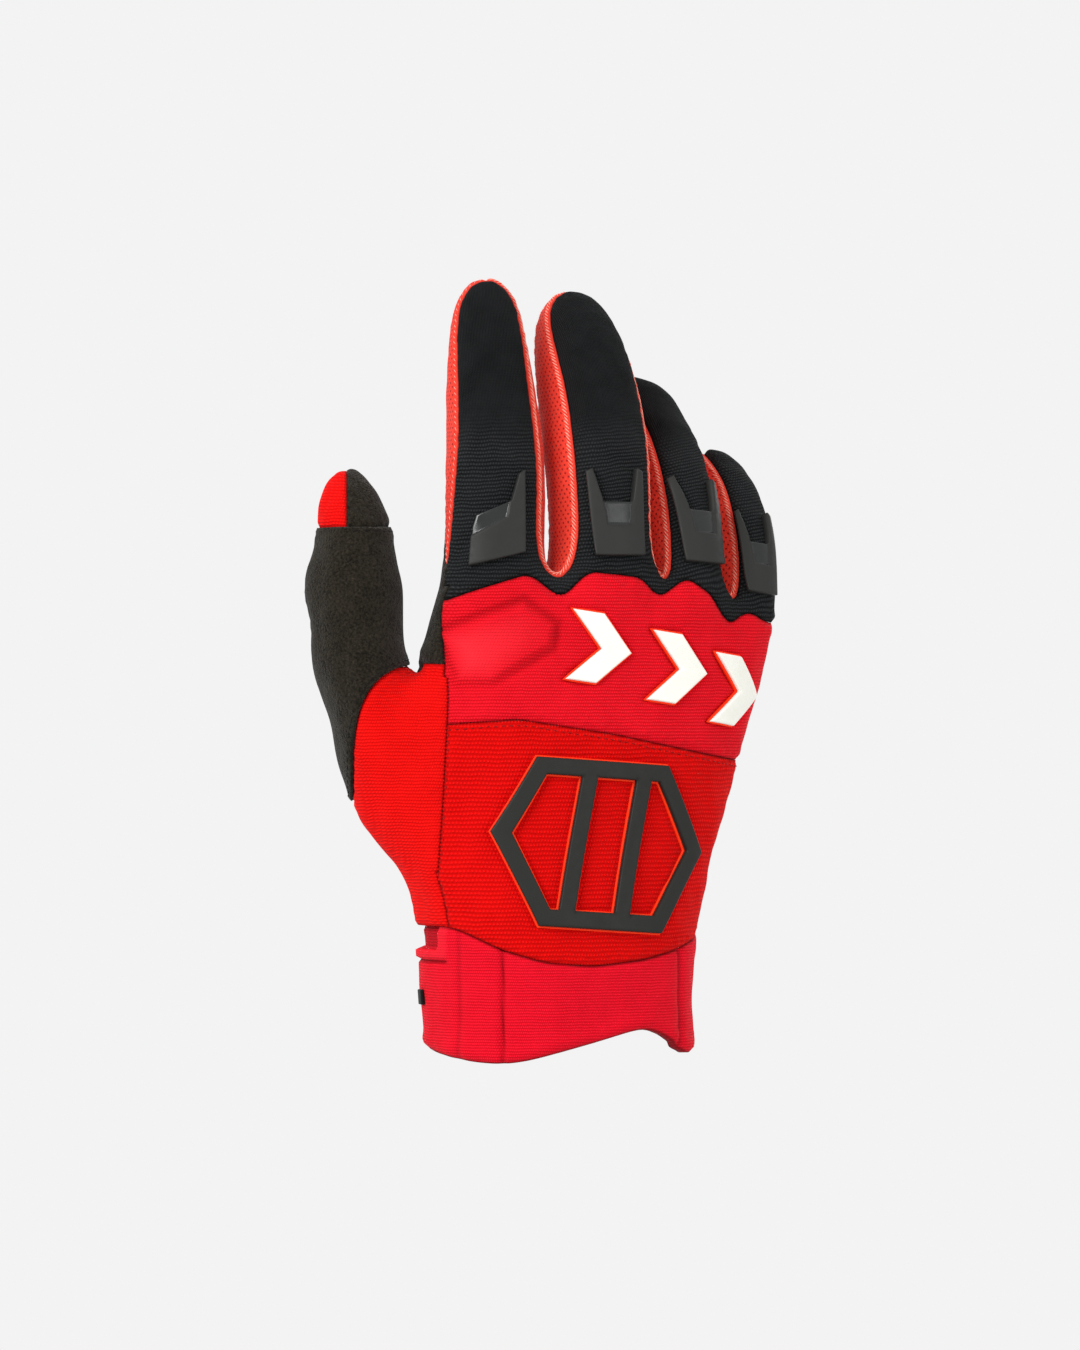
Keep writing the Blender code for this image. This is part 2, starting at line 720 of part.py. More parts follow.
def outer_side(shell):
    """Marks the outer side of the index and the little finger."""
    index = (shell.zones == INDEX) & (finger_middle(shell, INDEX) < 0)
    little = (shell.zones == LITTLE) & (finger_middle(shell, LITTLE) > 0)
    return index | little


def in_strip(shell):
    """Marks the triangles between the back and palm seams of a finger's side."""
    back = shell.middles(shell.column(BACK))
    upper, lower = (shell.middles(edge) for edge in strip_edges(shell))
    reach = shell.middles(fourchette_top(shell))
    outer = outer_side(shell) & (back < upper) & (back > lower)
    inner = ~outer_side(shell) & (np.abs(back) < reach)
    return np.isin(shell.zones, FINGER_ZONES) & (outer | inner)


def name_panels(shell):
    """The panel that each triangle belongs to."""
    back, along, nail, top = (shell.middles(shell.column(c)) for c in (BACK, ALONG, NAIL, TOP))
    across, up = shell.middles(shell.points[:, 0]), shell.middles(shell.points[:, 2])
    cuff = shell.middles(cuff_field(shell)) < 0
    names = np.full(len(shell.triangles), "palm", dtype="<U32")
    hand = shell.zones == HAND
    on_back = hand & (top > 0)
    names[on_back] = "knuckle_panel"
    names[on_back & (shell.middles(curve(SCALLOP, shell)) > 0)] = "finger_backs"
    names[on_back & (shell.middles(curve(KNUCKLE_SEAM, shell)) < 0)] = "hand_back"
    thumb = shell.zones == THUMB
    beside = (hand & (top < 0) & (across < 0)) | thumb
    inside_wrap = shell.middles(wrap_field(shell)) > 0
    names[beside & inside_wrap & (shell.middles(gusset_field(shell)) > 0)] = "thumb_gusset"
    names[thumb & ~inside_wrap] = "thumb_wrap"
    above_hem = thumb & (up > hem_up * glove_height)
    names[above_hem] = "thumb_front"
    names[above_hem & (nail > nail_seam)] = "thumb_back"
    names[thumb & ~inside_wrap & ~above_hem & (shell.middles(far_nail_field(shell)) > 0)] = "thumb_back"
    fingers = np.isin(shell.zones, FINGER_ZONES)
    strip = in_strip(shell)
    outer = outer_side(shell)
    in_reach = (along < strip_end) & (~outer | (along > strip_start))
    edge = np.where(outer, shell.middles(strip_edges(shell)[0]), shell.middles(fourchette_top(shell)))
    edge = np.where(along > strip_end, 0.0, edge)
    names[fingers & (back > edge)] = "finger_backs"
    strip &= in_reach
    between = {INDEX: "index_middle", MIDDLE: "middle_ring", RING: "ring_little"}
    for zone, pair in between.items():
        right = finger_middle(shell, zone) > 0
        left_of_next = finger_middle(shell, zone + 1) < 0
        mine = (shell.zones == zone) & right | (shell.zones == zone + 1) & left_of_next
        names[strip & ~outer & mine] = "fourchette_" + pair
    names[strip & outer & (shell.zones == INDEX)] = "side_strip_index"
    names[strip & outer & (shell.zones == LITTLE)] = "side_strip_little"
    names[hand & cuff] = "cuff"
    return names


def turned(points):
    """Turns points from the tables' view to the glove's own front."""
    c, s = math.cos(view_turn), math.sin(view_turn)
    x = points[:, 0] * c + points[:, 1] * s
    y = points[:, 1] * c - points[:, 0] * s
    return np.stack([x, y, points[:, 2]], axis=1)


def make_material(name):
    colour, roughness = COLOURS[name]
    material = bpy.data.materials.get(name) or bpy.data.materials.new(name)
    material.use_nodes = True
    shader = material.node_tree.nodes["Principled BSDF"]
    shader.inputs["Base Color"].default_value = (*colour, 1.0)
    shader.inputs["Roughness"].default_value = roughness
    shader.inputs["Metallic"].default_value = 0.0
    material.diffuse_color = (*colour, 1.0)
    return material


def add_object(name, points, triangles, material):
    mesh = bpy.data.meshes.new(name)
    mesh.from_pydata(turned(points).tolist(), [], triangles.tolist())
    mesh.materials.append(make_material(material))
    mesh.shade_smooth()
    item = bpy.data.objects.new(name, mesh)
    bpy.context.collection.objects.link(item)
    return item


def rim_steps(points, triangles, normals):
    """For each rim point of a patch, the step into the patch that moves both its rim edges by one."""
    sides = np.stack([triangles, np.roll(triangles, -1, axis=1)], axis=2).reshape(-1, 2)
    keys = {tuple(side) for side in sides.tolist()}
    rim = [side for side in sides.tolist() if (side[1], side[0]) not in keys]
    inward = {}
    for a, b in rim:
        way = points[b] - points[a]
        step = np.cross((normals[a] + normals[b]) / 2, way)
        length = np.linalg.norm(step)
        for end in (a, b):
            inward.setdefault(end, []).append(step / length)
    steps = {}
    for end, ways in inward.items():
        total = np.sum(ways, axis=0)
        bend = max(1.0 + float(np.dot(ways[0], ways[-1])), 0.6)
        steps[end] = total / bend if len(ways) == 2 else total / len(ways)
    return rim, steps


def thickened(shell, normals, chosen, outer, inner):
    """A closed wall over the chosen triangles, from inner to outer along the normals, with seam gaps."""
    used, triangles = np.unique(shell.triangles[chosen], return_inverse=True)
    triangles = triangles.reshape(-1, 3)
    points, across = shell.points[used][:, :3].copy(), normals[used]
    rim, steps = rim_steps(points, triangles, across)
    below = points.copy()
    for index, step in steps.items():
        points[index] += step * seam_gap / 2
        below[index] += step * (seam_gap / 2 - inner * inner_ease)
    count = len(points)
    both = np.concatenate([points + across * outer, below + across * inner])
    walls = []
    for a, b in rim:
        walls += [(b, a, a + count), (b, a + count, b + count)]
    faces = np.concatenate([triangles, triangles[:, ::-1] + count, np.array(walls)])
    return both, faces


# Each panel's material, how far it stands proud of the shell, and how deep it reaches
PANELS = {
    "finger_backs": ("black_knit", 0.0, knit_wall),
    "fourchette_index_middle": ("red_mesh", 0.0, mesh_wall),
    "fourchette_middle_ring": ("red_mesh", 0.0, mesh_wall),
    "fourchette_ring_little": ("red_mesh", 0.0, mesh_wall),
    "side_strip_index": ("red_mesh", 0.0, mesh_wall),
    "side_strip_little": ("red_mesh", 0.0, mesh_wall),
    "palm": ("black_suede", 0.0, suede_wall),
    "knuckle_panel": ("crimson_knit", 0.0, knit_wall),
    "hand_back": ("scarlet_knit", 0.0, knit_wall),
    "thumb_gusset": ("scarlet_knit", 0.0, knit_wall),
    "thumb_back": ("scarlet_knit", 0.0, knit_wall),
    "thumb_front": ("black_suede", 0.0, suede_wall),
    "thumb_wrap": ("black_suede", wrap_lift, suede_wall),
    "cuff": ("cuff_jersey", 0.0, neoprene_wall),
}


def add_panels(shell):
    names = name_panels(shell)
    normals = shell.normals()
    for name, (material, proud, wall) in PANELS.items():
        points, faces = thickened(shell, normals, names == name, proud, -wall)
        add_object(name, points, faces, material)


def line_points(corners, step):
    """The corners of a closed outline with points added, so that no edge is longer than step."""
    spots = []
    for k, start in enumerate(corners):
        end = corners[(k + 1) % len(corners)]
        count = max(1, math.ceil(math.dist(start, end) / step))
        for part in range(count):
            share = part / count
            spots.append(tuple(s + (e - s) * share for s, e in zip(start, end)))
    return spots


def inset(outline, width):
    """A closed outline moved to its left by width: into a shape that runs counter-clockwise."""
    spots = []
    for k, here in enumerate(outline):
        before, after = Vector(outline[k - 1]), Vector(outline[(k + 1) % len(outline)])
        here = Vector(here)
        one, two = (here - before).normalized(), (after - here).normalized()
        left = Vector((-one.y - two.y, one.x + two.x))
        spots.append(tuple(here + left * (width / max(1.0 + one.dot(two), 0.5))))
    return spots


def inside_loops(spot, loops):
    """Whether a spot lies inside the outer loop and outside the holes."""
    inside = False
    for loop in loops:
        for k, (x, y) in enumerate(loop):
            next_x, next_y = loop[(k + 1) % len(loop)]
            if (y > spot[1]) != (next_y > spot[1]):
                inside ^= spot[0] < x + (spot[1] - y) * (next_x - x) / (next_y - y)
    return inside


def middle_of(face, spots):
    return sum((spots[k] for k in face), Vector((0, 0))) / len(face)


def has_area(face, spots, width):
    """Whether a flat triangle is more than a sliver between points in a line."""
    a, b, c = (spots[k] for k in face)
    return abs((b - a).cross(c - a)) > 0.01 * width * width


class Skin:
    """Finds the shell's surface and its direction along a straight look from outside."""

    def __init__(self, shell):
        self.points = shell.points[:, :3]
        self.triangles = shell.triangles
        self.normals = shell.normals()
        self.tree = BVHTree.FromPolygons(self.points.tolist(), self.triangles.tolist())

    def at(self, start, way):
        spot, _, index, _ = self.tree.ray_cast(Vector(start), Vector(way))
        a, b, c = self.triangles[index]
        corners = [self.points[k] for k in (a, b, c)]
        areas = [
            np.linalg.norm(np.cross(corners[1] - spot, corners[2] - spot)),
            np.linalg.norm(np.cross(corners[2] - spot, corners[0] - spot)),
            np.linalg.norm(np.cross(corners[0] - spot, corners[1] - spot)),
        ]
        normal = sum(area * self.normals[k] for area, k in zip(areas, (a, b, c)))
        return np.array(spot), normal / np.linalg.norm(normal)


def raised(skin, loops, spot, lift, thickness, step):
    """A slab over the skin at a spot across and up. loops are its outline and holes, all in metres."""
    middle, facing = skin.at((spot[0], -hand_breadth, spot[1]), (0.0, 1.0, 0.0))
    roll = math.atan2(facing[0], -facing[1])
    side = np.array((math.cos(roll), math.sin(roll), 0.0))
    out = np.array((math.sin(roll), -math.cos(roll), 0.0))
    fine = [line_points(loop, step) for loop in loops]
    eased = [inset(loop, edge_bevel) for loop in fine]
    spots = [spot for loop in fine + eased for spot in loop]
    edges, first = [], 0
    for loop in fine + eased:
        edges += [(first + k, first + (k + 1) % len(loop)) for k in range(len(loop))]
        first += len(loop)
    low = np.min(fine[0], axis=0)
    high = np.max(fine[0], axis=0)
    for x in np.arange(low[0] + step / 2, high[0], step):
        for y in np.arange(low[1] + step / 2, high[1], step):
            near = min(math.dist((x, y), spot) for spot in spots)
            if inside_loops((x, y), eased) and near > step * 0.5:
                spots.append((x, y))
    result = delaunay_2d_cdt([Vector(spot) for spot in spots], edges, [], 0, 1e-7)
    flat, faces = result[0], result[2]
    faces = [f for f in faces if has_area(f, flat, edge_bevel) and inside_loops(middle_of(f, flat), fine)]
    rim_count = sum(len(loop) for loop in fine)
    lower, upper = [], []
    for k, spot in enumerate(flat):
        start = middle + side * spot[0] + np.array((0.0, 0.0, spot[1])) + out * hand_breadth
        at, normal = skin.at(start, -out)
        height = thickness - (edge_bevel if k < rim_count else 0.0)
        lower.append(at + normal * lift)
        upper.append(at + normal * (lift + height))
    count = len(flat)
    walls, first = [], 0
    for loop in fine:
        for k in range(len(loop)):
            a, b = first + k, first + (k + 1) % len(loop)
            walls += [(a, b, b + count), (a, b + count, a + count)]
        first += len(loop)
    solid = [tuple(f[::-1]) for f in faces] + [tuple(k + count for k in f) for f in faces] + walls
    return np.array(lower + upper), np.array(solid)


# Guards: where the middle lies across and up, its lean in degrees, and its width and height as shares of
# a guard's
GUARDS = {
    INDEX: ("guard_index", (-0.188, 0.674), 0.0, 0.95, 1.10),
    MIDDLE: ("guard_middle", (0.171, 0.682), 0.0, 1.0, 1.0),
    RING: ("guard_ring", (0.425, 0.672), -4.0, 0.86, 0.98),
    LITTLE: ("guard_little", (0.602, 0.632), -6.0, 0.64, 0.95),
}

# Outlines as shares of width and height from the middle, counter-clockwise as seen
GUARD_U = (
    (-0.46, -0.50), (0.44, -0.50), (0.50, 0.46), (0.40, 0.50),
    (0.27, 0.12), (-0.27, 0.12), (-0.40, 0.50), (-0.50, 0.46),
)
GUARD_L = (
    (-0.50, -0.50), (0.50, -0.36), (0.50, 0.50), (0.40, 0.50),
    (0.28, 0.14), (-0.36, 0.06), (-0.44, -0.10),
)
CHEVRON = ((-0.50, -0.50), (-0.02, -0.50), (0.50, 0.00), (-0.02, 0.50), (-0.50, 0.50), (0.02, 0.00))
HEXAGON = ((-0.50, 0.04), (-0.30, -0.50), (0.28, -0.50), (0.50, 0.00), (0.30, 0.50), (-0.32, 0.50))

# Bars: across and up of the middle as in the tables, and the lean in degrees
BARS = (
    ("knuckle_bar_1", (0.118, 0.510), -8.0),
    ("knuckle_bar_2", (0.352, 0.484), -8.0),
    ("knuckle_bar_3", (0.530, 0.456), -8.0),
)
badge_place = (0.130, 0.262)
badge_lean = -4.0
SQUARE = ((-0.50, -0.50), (0.50, -0.50), (0.50, 0.50), (-0.50, 0.50))
tab_across = -0.482
tab_up = 0.070
trim_step = 0.0065
guard_step = 0.0042


def scaled(outline, width, height, lean=0.0):
    """An outline of shares at its size, turned by lean degrees."""
    c, s = math.cos(math.radians(lean)), math.sin(math.radians(lean))
    sized = [(x * width, y * height) for x, y in outline]
    return [(x * c - y * s, x * s + y * c) for x, y in sized]


def add_guards(skin):
    for zone, (name, spot, lean, width, height) in GUARDS.items():
        outline = GUARD_L if zone == INDEX else GUARD_U
        loops = [scaled(outline, width * guard_width, height * guard_height, lean)]
        points, faces = raised(skin, loops, across_up(*spot), guard_gap, guard_thickness, guard_step)
        add_object(name, points, faces, "guard_rubber")


def add_bars(skin):
    for name, spot, lean in BARS:
        loops = [scaled(CHEVRON, motif_width, motif_height, lean)]
        points, faces = raised(skin, loops, across_up(*spot), trim_gap, motif_thickness, trim_step)
        add_object(name, points, faces, "white_rubber")


def badge_loops():
    """A six-sided frame with two slanting bars across it, which leave three windows."""
    outer = scaled(HEXAGON, badge_width, badge_height)
    frame = inset(outer, badge_stroke)
    left, foot_left, foot_right, right, head_right, head_left = frame
    foot, head = foot_left[1], head_left[1]

    def bar_edge(side, x):
        edge = x + side * badge_stroke / 2
        return (edge - badge_slant / 2, foot), (edge + badge_slant / 2, head)

    first_foot, first_head = bar_edge(-1, -badge_bar_offset)
    after_foot, after_head = bar_edge(1, -badge_bar_offset)
    last_foot, last_head = bar_edge(-1, badge_bar_offset)
    final_foot, final_head = bar_edge(1, badge_bar_offset)
    windows = [
        [left, head_left, first_head, first_foot, foot_left],
        [after_foot, after_head, last_head, last_foot],
        [final_foot, final_head, head_right, right, foot_right],
    ]
    return [outer] + windows


def add_badge(skin):
    loops = [scaled(loop, 1.0, 1.0, badge_lean) for loop in badge_loops()]
    points, faces = raised(skin, loops, across_up(*badge_place), trim_gap, badge_thickness, trim_step)
    add_object("back_badge", points, faces, "badge_rubber")


def add_pull_tab(skin):
    """A small tab of tape on the cuff's edge, on the thumb's side."""
    loops = [scaled(SQUARE, tab_width, tab_length)]
    spot = (tab_across * wrist_breadth, tab_up * glove_height)
    points, faces = raised(skin, loops, spot, trim_gap, tab_thickness, trim_step)
    add_object("pull_tab", points, faces, "black_knit")


def main():
    for item in list(bpy.data.objects):
        bpy.data.objects.remove(item)
    points, quads, zones = build_cage()
    for _ in range(shell_level):
        points, quads, zones = smooth_once(points, quads, zones)
    triangles, zones = to_triangles(points, quads, zones)
    shell = Shell(points, triangles, zones)
    cut_seams(shell)
    add_panels(shell)
    skin = Skin(shell)
    add_guards(skin)
    add_bars(skin)
    add_badge(skin)
    add_pull_tab(skin)


main()
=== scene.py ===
"""The looks of a motocross glove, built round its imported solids.

The shell is grown again from the cage that the solids come from, but much finer, and cut along the same
seams. Each panel gets its relief, its rolled edges, a wall and a fabric. Threads, guards, bars and a badge
lie on the panels.

Tables and fields are measured across, away and up as seen by the camera. Each piece is turned to the
frame's own axes when it is made.
"""

import math

import bpy
import numpy as np
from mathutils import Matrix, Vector
from mathutils.bvhtree import BVHTree
from mathutils.geometry import delaunay_2d_cdt
from mathutils.kdtree import KDTree


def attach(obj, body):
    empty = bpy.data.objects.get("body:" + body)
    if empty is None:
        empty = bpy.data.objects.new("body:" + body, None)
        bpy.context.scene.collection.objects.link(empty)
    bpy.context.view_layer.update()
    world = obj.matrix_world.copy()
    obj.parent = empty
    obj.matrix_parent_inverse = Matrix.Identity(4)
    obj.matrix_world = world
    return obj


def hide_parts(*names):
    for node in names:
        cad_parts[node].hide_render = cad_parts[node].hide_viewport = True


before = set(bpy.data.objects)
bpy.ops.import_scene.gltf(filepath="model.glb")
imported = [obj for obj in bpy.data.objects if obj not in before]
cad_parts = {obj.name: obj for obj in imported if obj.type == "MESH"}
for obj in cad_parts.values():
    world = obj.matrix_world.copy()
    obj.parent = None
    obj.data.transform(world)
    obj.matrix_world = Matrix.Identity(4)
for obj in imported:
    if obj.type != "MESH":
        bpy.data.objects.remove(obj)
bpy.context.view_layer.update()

MM = 0.001

# How far the corners of the seams drawn across the back of the hand are rounded
seam_rounding = 2.4 * MM

# Sizes in metres
glove_height = 0.236
hand_breadth = 0.100
hand_depth = 0.038
wrist_breadth = 0.084
wrist_depth = 0.056
finger_breadth = 0.030
finger_depth = 0.029
thumb_breadth = 0.030
thumb_depth = 0.027
web_rise = 0.003
knit_wall = 0.0013
mesh_wall = 0.0011
suede_wall = 0.0011
neoprene_wall = 0.0024
trim_gap = 0.0004
guard_height = 0.026
guard_width = 0.0165
motif_height = 0.021
motif_width = 0.020
motif_thickness = 0.0014
badge_width = 0.068
badge_height = 0.050
badge_thickness = 0.0020
badge_stroke = 0.0050
badge_slant = 0.0068
badge_bar_offset = 0.0088
tab_length = 0.0045
tab_width = 0.0040
tab_thickness = 0.0012

# How the glove is turned from the tables' view to its own front
view_turn = math.radians(25.0)
# How much wider the cage is than the smooth shell in it: round a finger, and round the hand
cage_swell = 1.10
row_swell = 1.056


# Columns of a shell point
BACK, ALONG, NAIL, TOP = 3, 4, 5, 6

# Zones of the shell
HAND, INDEX, MIDDLE, RING, LITTLE, THUMB = range(6)

# Each finger's roll in degrees, and its rows.
# Up is a share of glove_height. Across and away are shares of hand_breadth. Breadth and depth are half
# widths, as shares of finger_breadth and finger_depth. The first row is the knuckle, and the last the tip.
FINGERS = {
    INDEX: (6.0, (
        (0.585, -0.205, -0.095, 0.500, 0.560),
        (0.632, -0.200, -0.090, 0.480, 0.490),
        (0.712, -0.192, -0.080, 0.497, 0.466),
        (0.780, -0.197, -0.060, 0.475, 0.448),
        (0.870, -0.2145, -0.020, 0.422, 0.400),
        (0.960, -0.226, 0.020, 0.330, 0.320),
        (1.006, -0.223, 0.040, 0.0, 0.0),
    )),
    MIDDLE: (28.0, (
        (0.592, 0.125, -0.015, 0.510, 0.560),
        (0.632, 0.120, -0.010, 0.483, 0.490),
        (0.699, 0.118, 0.010, 0.500, 0.483),
        (0.771, 0.108, 0.045, 0.517, 0.490),
        (0.862, 0.074, 0.115, 0.490, 0.465),
        (0.944, 0.026, 0.195, 0.375, 0.350),
        (0.993, 0.002, 0.245, 0.0, 0.0),
    )),
    RING: (38.0, (
        (0.572, 0.360, 0.085, 0.380, 0.500),
        (0.614, 0.352, 0.105, 0.355, 0.450),
        (0.674, 0.345, 0.140, 0.362, 0.455),
        (0.736, 0.318, 0.210, 0.375, 0.450),
        (0.796, 0.262, 0.325, 0.370, 0.415),
        (0.840, 0.205, 0.435, 0.300, 0.310),
        (0.857, 0.175, 0.505, 0.0, 0.0),
    )),
    LITTLE: (50.0, (
        (0.542, 0.532, 0.225, 0.330, 0.440),
        (0.584, 0.535, 0.245, 0.322, 0.414),
        (0.638, 0.533, 0.275, 0.330, 0.414),
        (0.702, 0.500, 0.355, 0.327, 0.385),
        (0.746, 0.447, 0.455, 0.280, 0.310),
        (0.766, 0.410, 0.525, 0.0, 0.0),
    )),
}

# Up, across and away are as above. Breadth and depth are half widths, as shares of hand_breadth and
# hand_depth. Slope is how far the row rises to the thumb's side, as a share of glove_height. The thumb
# leaves the hand between the second row and the fifth.
HAND_ROWS = (
    (0.520, 0.110, 0.065, 0.527, 0.560, 0.028),
    (0.467, 0.094, 0.055, 0.530, 0.580, 0.010),
    (0.390, 0.064, 0.040, 0.503, 0.620, 0.0),
    (0.305, 0.032, 0.025, 0.473, 0.660, 0.0),
    (0.220, -0.007, 0.010, 0.447, 0.720, 0.0),
)

# The same columns, with breadth and depth as shares of wrist_breadth and wrist_depth
WRIST_ROWS = (
    (0.160, -0.008, 0.000, 0.504, 0.525),
    (0.100, -0.013, 0.000, 0.476, 0.530),
    (0.000, -0.004, 0.000, 0.470, 0.530),
)

# Where the points of a hand row lie from the thumb's side to the other, as shares of its breadth
ROW_SHARES = (0.032, 0.160, 0.300, 0.435, 0.570, 0.685, 0.800, 0.890, 0.965)
ROW_ROUNDNESS = 2.4

# How far the cuff's edge rises above the wrist opening, as shares of glove_height, from the thumb's side on
CUFF_RISE = (
    0.001, -0.008, -0.013, 0.000, 0.012, 0.024, 0.034, 0.018, -0.006, 0.000,
    0.022, 0.030, 0.034, 0.036, 0.036, 0.034, 0.030, 0.022, 0.014, 0.006,
)

# The thumb's rings: up, across and away as above, the lean of its axis in degrees to the thumb's side,
# and half widths as shares of thumb_breadth and thumb_depth. The last row is the tip.
THUMB_ROWS = (
    (0.376, -0.515, -0.090, 75.0, 0.830, 0.690),
    (0.434, -0.562, -0.105, 60.0, 0.640, 0.630),
    (0.494, -0.602, -0.120, 38.0, 0.515, 0.560),
    (0.580, -0.625, -0.130, 2.0, 0.475, 0.490),
    (0.650, -0.620, -0.130, -2.0, 0.375, 0.430),
    (0.712, -0.623, -0.120, -4.0, 0.285, 0.320),
    (0.762, -0.630, -0.110, 0.0, 0.0, 0.0),
)

# The scalloped seam below the finger backs and the seam below the knuckle panel: across and up
SCALLOP = (
    (-0.40, 0.570), (-0.351, 0.571), (-0.087, 0.605), (0.006, 0.573), (0.084, 0.608),
    (0.252, 0.600), (0.297, 0.573), (0.378, 0.602), (0.471, 0.576), (0.504, 0.538),
    (0.573, 0.560), (0.630, 0.543),
)
KNUCKLE_SEAM = ((-0.40, 0.413), (-0.12, 0.421), (0.165, 0.402), (0.54, 0.367), (0.65, 0.355))

# Seams by their share of the way from palm (-1) to back (+1)
side_seam = 0.14
gusset_top = 0.25
gusset_back = -0.04
gusset_wrist_back = -0.52
gusset_turn_from = 0.37
gusset_turn_to = 0.24
fourchette_half = 0.45
fourchette_narrowing = 0.22
strip_narrowing = 0.20

# The seam on the thumb's tip, by the share of the way from its pad (-1) to its nail (+1)
nail_seam = 0.12
sliver_nail = 0.35
sliver_edge = 0.30
sliver_depth = 0.34

# The cuff seam: its height on the palm as a share of glove_height, and its line on the back
cuff_seam_up = 0.160
CUFF_SEAM = (
    (-0.417, 0.165), (-0.327, 0.158), (-0.174, 0.132), (-0.039, 0.116), (0.102, 0.111),
    (0.255, 0.118), (0.360, 0.130), (0.396, 0.139),
)

# The thumb's suede wrap ends along a round corner: across, up and radii, as shares like the rows'
wrap_corner = (-0.40, 0.360)
wrap_radii = (0.22, 0.131)
wrap_power = 2.4
hem_up = 0.663
sliver_up = 0.553
sliver_height = 0.018
sliver_foot = 0.46


def across_up(share_across, share_up):
    """A place in the tables' view, in metres."""
    return share_across * hand_breadth, share_up * glove_height


def place(up, across, away):
    """A point of the tables in metres: across, away, up."""
    return np.array((across * hand_breadth, away * hand_breadth, up * glove_height))


def ease(value):
    """0 below 0, 1 above 1 and a smooth step between."""
    value = np.clip(value, 0.0, 1.0)
    return value * value * (3.0 - 2.0 * value)


class Cage:
    """Points with their seam values, and quads with their zones."""

    def __init__(self):
        self.points = []
        self.quads = []
        self.zones = []

    def point(self, position, back=0.0, along=0.0, nail=0.0, top=-1.0):
        self.points.append((*position, back, along, nail, top))
        return len(self.points) - 1

    def quad(self, corners, zone):
        self.quads.append(corners)
        self.zones.append(zone)

    def tube(self, lower, upper, zone):
        """Joins two rings of as many points."""
        count = len(lower)
        for k in range(count):
            nxt = (k + 1) % count
            self.quad((lower[k], lower[nxt], upper[nxt], upper[k]), zone)

    def cap(self, ring, middle, zone):
        """Closes a ring with quads that meet in one point."""
        count = len(ring)
        for k in range(0, count, 2):
            self.quad((ring[k - 1], ring[k], ring[(k + 1) % count], middle), zone)


# Where the points of a finger's ring lie: to its side and to its back
corner, shoulder = 0.74, 0.80
RING_PLACES = (
    (-corner, shoulder), (0.0, 1.0), (corner, shoulder), (1.0, 0.0),
    (corner, -shoulder), (0.0, -1.0), (-corner, -shoulder), (-1.0, 0.0),
)


def unit(way):
    """A direction at length 1."""
    return way / max(np.linalg.norm(way), 1e-15)


def finger_ring(zone, number):
    """Eight points round a finger: three on its back, its right, three on its palm and its left."""
    roll, rows = FINGERS[zone]
    roll = math.radians(roll)
    near = (number, max(number - 1, 0), min(number + 1, len(rows) - 1))
    middle, before, after = (place(*rows[k][:3]) for k in near)
    axis = unit(after - before)
    back = np.array((math.sin(roll), -math.cos(roll), 0.0))
    back = unit(back - np.dot(back, axis) * axis)
    side = np.cross(axis, back)
    half_breadth = rows[number][3] * finger_breadth * cage_swell
    half_depth = rows[number][4] * finger_depth * cage_swell
    return [middle + side * half_breadth * s + back * half_depth * b for s, b in RING_PLACES]


# How far each point of a finger's ring is on its back: 1 on the back's middle, -1 on the palm's
corner_back = 0.6
RING_BACK = (corner_back, 1.0, corner_back, 0.0, -corner_back, -1.0, -corner_back, 0.0)


def add_knuckles(cage):
    """The hand's top row and the webs between the fingers. Gives the row and each finger's base ring."""
    rings = [finger_ring(zone, 0) for zone in FINGERS]
    backs, palms, webs = [], [], []

    def add_side(back, palm, web, back_top, web_top):
        backs.append(cage.point(back, back=corner_back, top=back_top))
        palms.append(cage.point(palm, back=-corner_back))
        webs.append(cage.point(web, top=web_top))

    seams = (corner_back - side_seam, -side_seam)
    add_side(rings[0][0], rings[0][6], rings[0][7], *seams)
    for ring, following in zip(rings, (*rings[1:], None)):
        backs.append(cage.point(ring[1], back=1.0, top=1.0))
        palms.append(cage.point(ring[5], back=-1.0))
        if following is None:
            add_side(ring[2], ring[4], ring[3], *seams)
        else:
            web = (ring[3] + following[7]) / 2 + (0.0, 0.0, web_rise)
            add_side((ring[2] + following[0]) / 2, (ring[4] + following[6]) / 2, web, 1.0, 0.0)
    bases = []
    for number in range(len(rings)):
        three = slice(2 * number, 2 * number + 3)
        bases.append([*backs[three], webs[number + 1], *palms[three][::-1], webs[number]])
    return [webs[0], *backs, webs[-1], *palms[::-1]], bases


def add_finger(cage, zone, lower):
    """Rings from the base to the tip."""
    rows = FINGERS[zone][1]
    last = len(rows) - 1
    for number in range(1, last):
        ring = []
        for at, back in zip(finger_ring(zone, number), RING_BACK):
            ring.append(cage.point(at, back=back, along=number / last))
        cage.tube(lower, ring, zone)
        lower = ring
    cage.cap(lower, cage.point(place(*rows[last][:3]), along=1.0), zone)


def hand_row_points(up, across, away, half_breadth, half_depth):
    """The twenty points of a row round the hand: thumb's side, back, other side, palm."""
    middle = place(up, across, away)
    side = np.array((math.cos(view_turn), math.sin(view_turn), 0.0))
    back = np.array((math.sin(view_turn), -math.cos(view_turn), 0.0))
    half_breadth *= row_swell
    half_depth *= row_swell
    sideways = [2.0 * share - 1.0 for share in ROW_SHARES]
    spots = [(s, (1.0 - abs(s) ** ROW_ROUNDNESS) ** (1.0 / ROW_ROUNDNESS)) for s in sideways]
    backs = [middle + side * half_breadth * s + back * half_depth * o for s, o in spots]
    palms = [middle + side * half_breadth * s - back * half_depth * o for s, o in spots]
    return [middle - side * half_breadth] + backs + [middle + side * half_breadth] + palms[::-1]


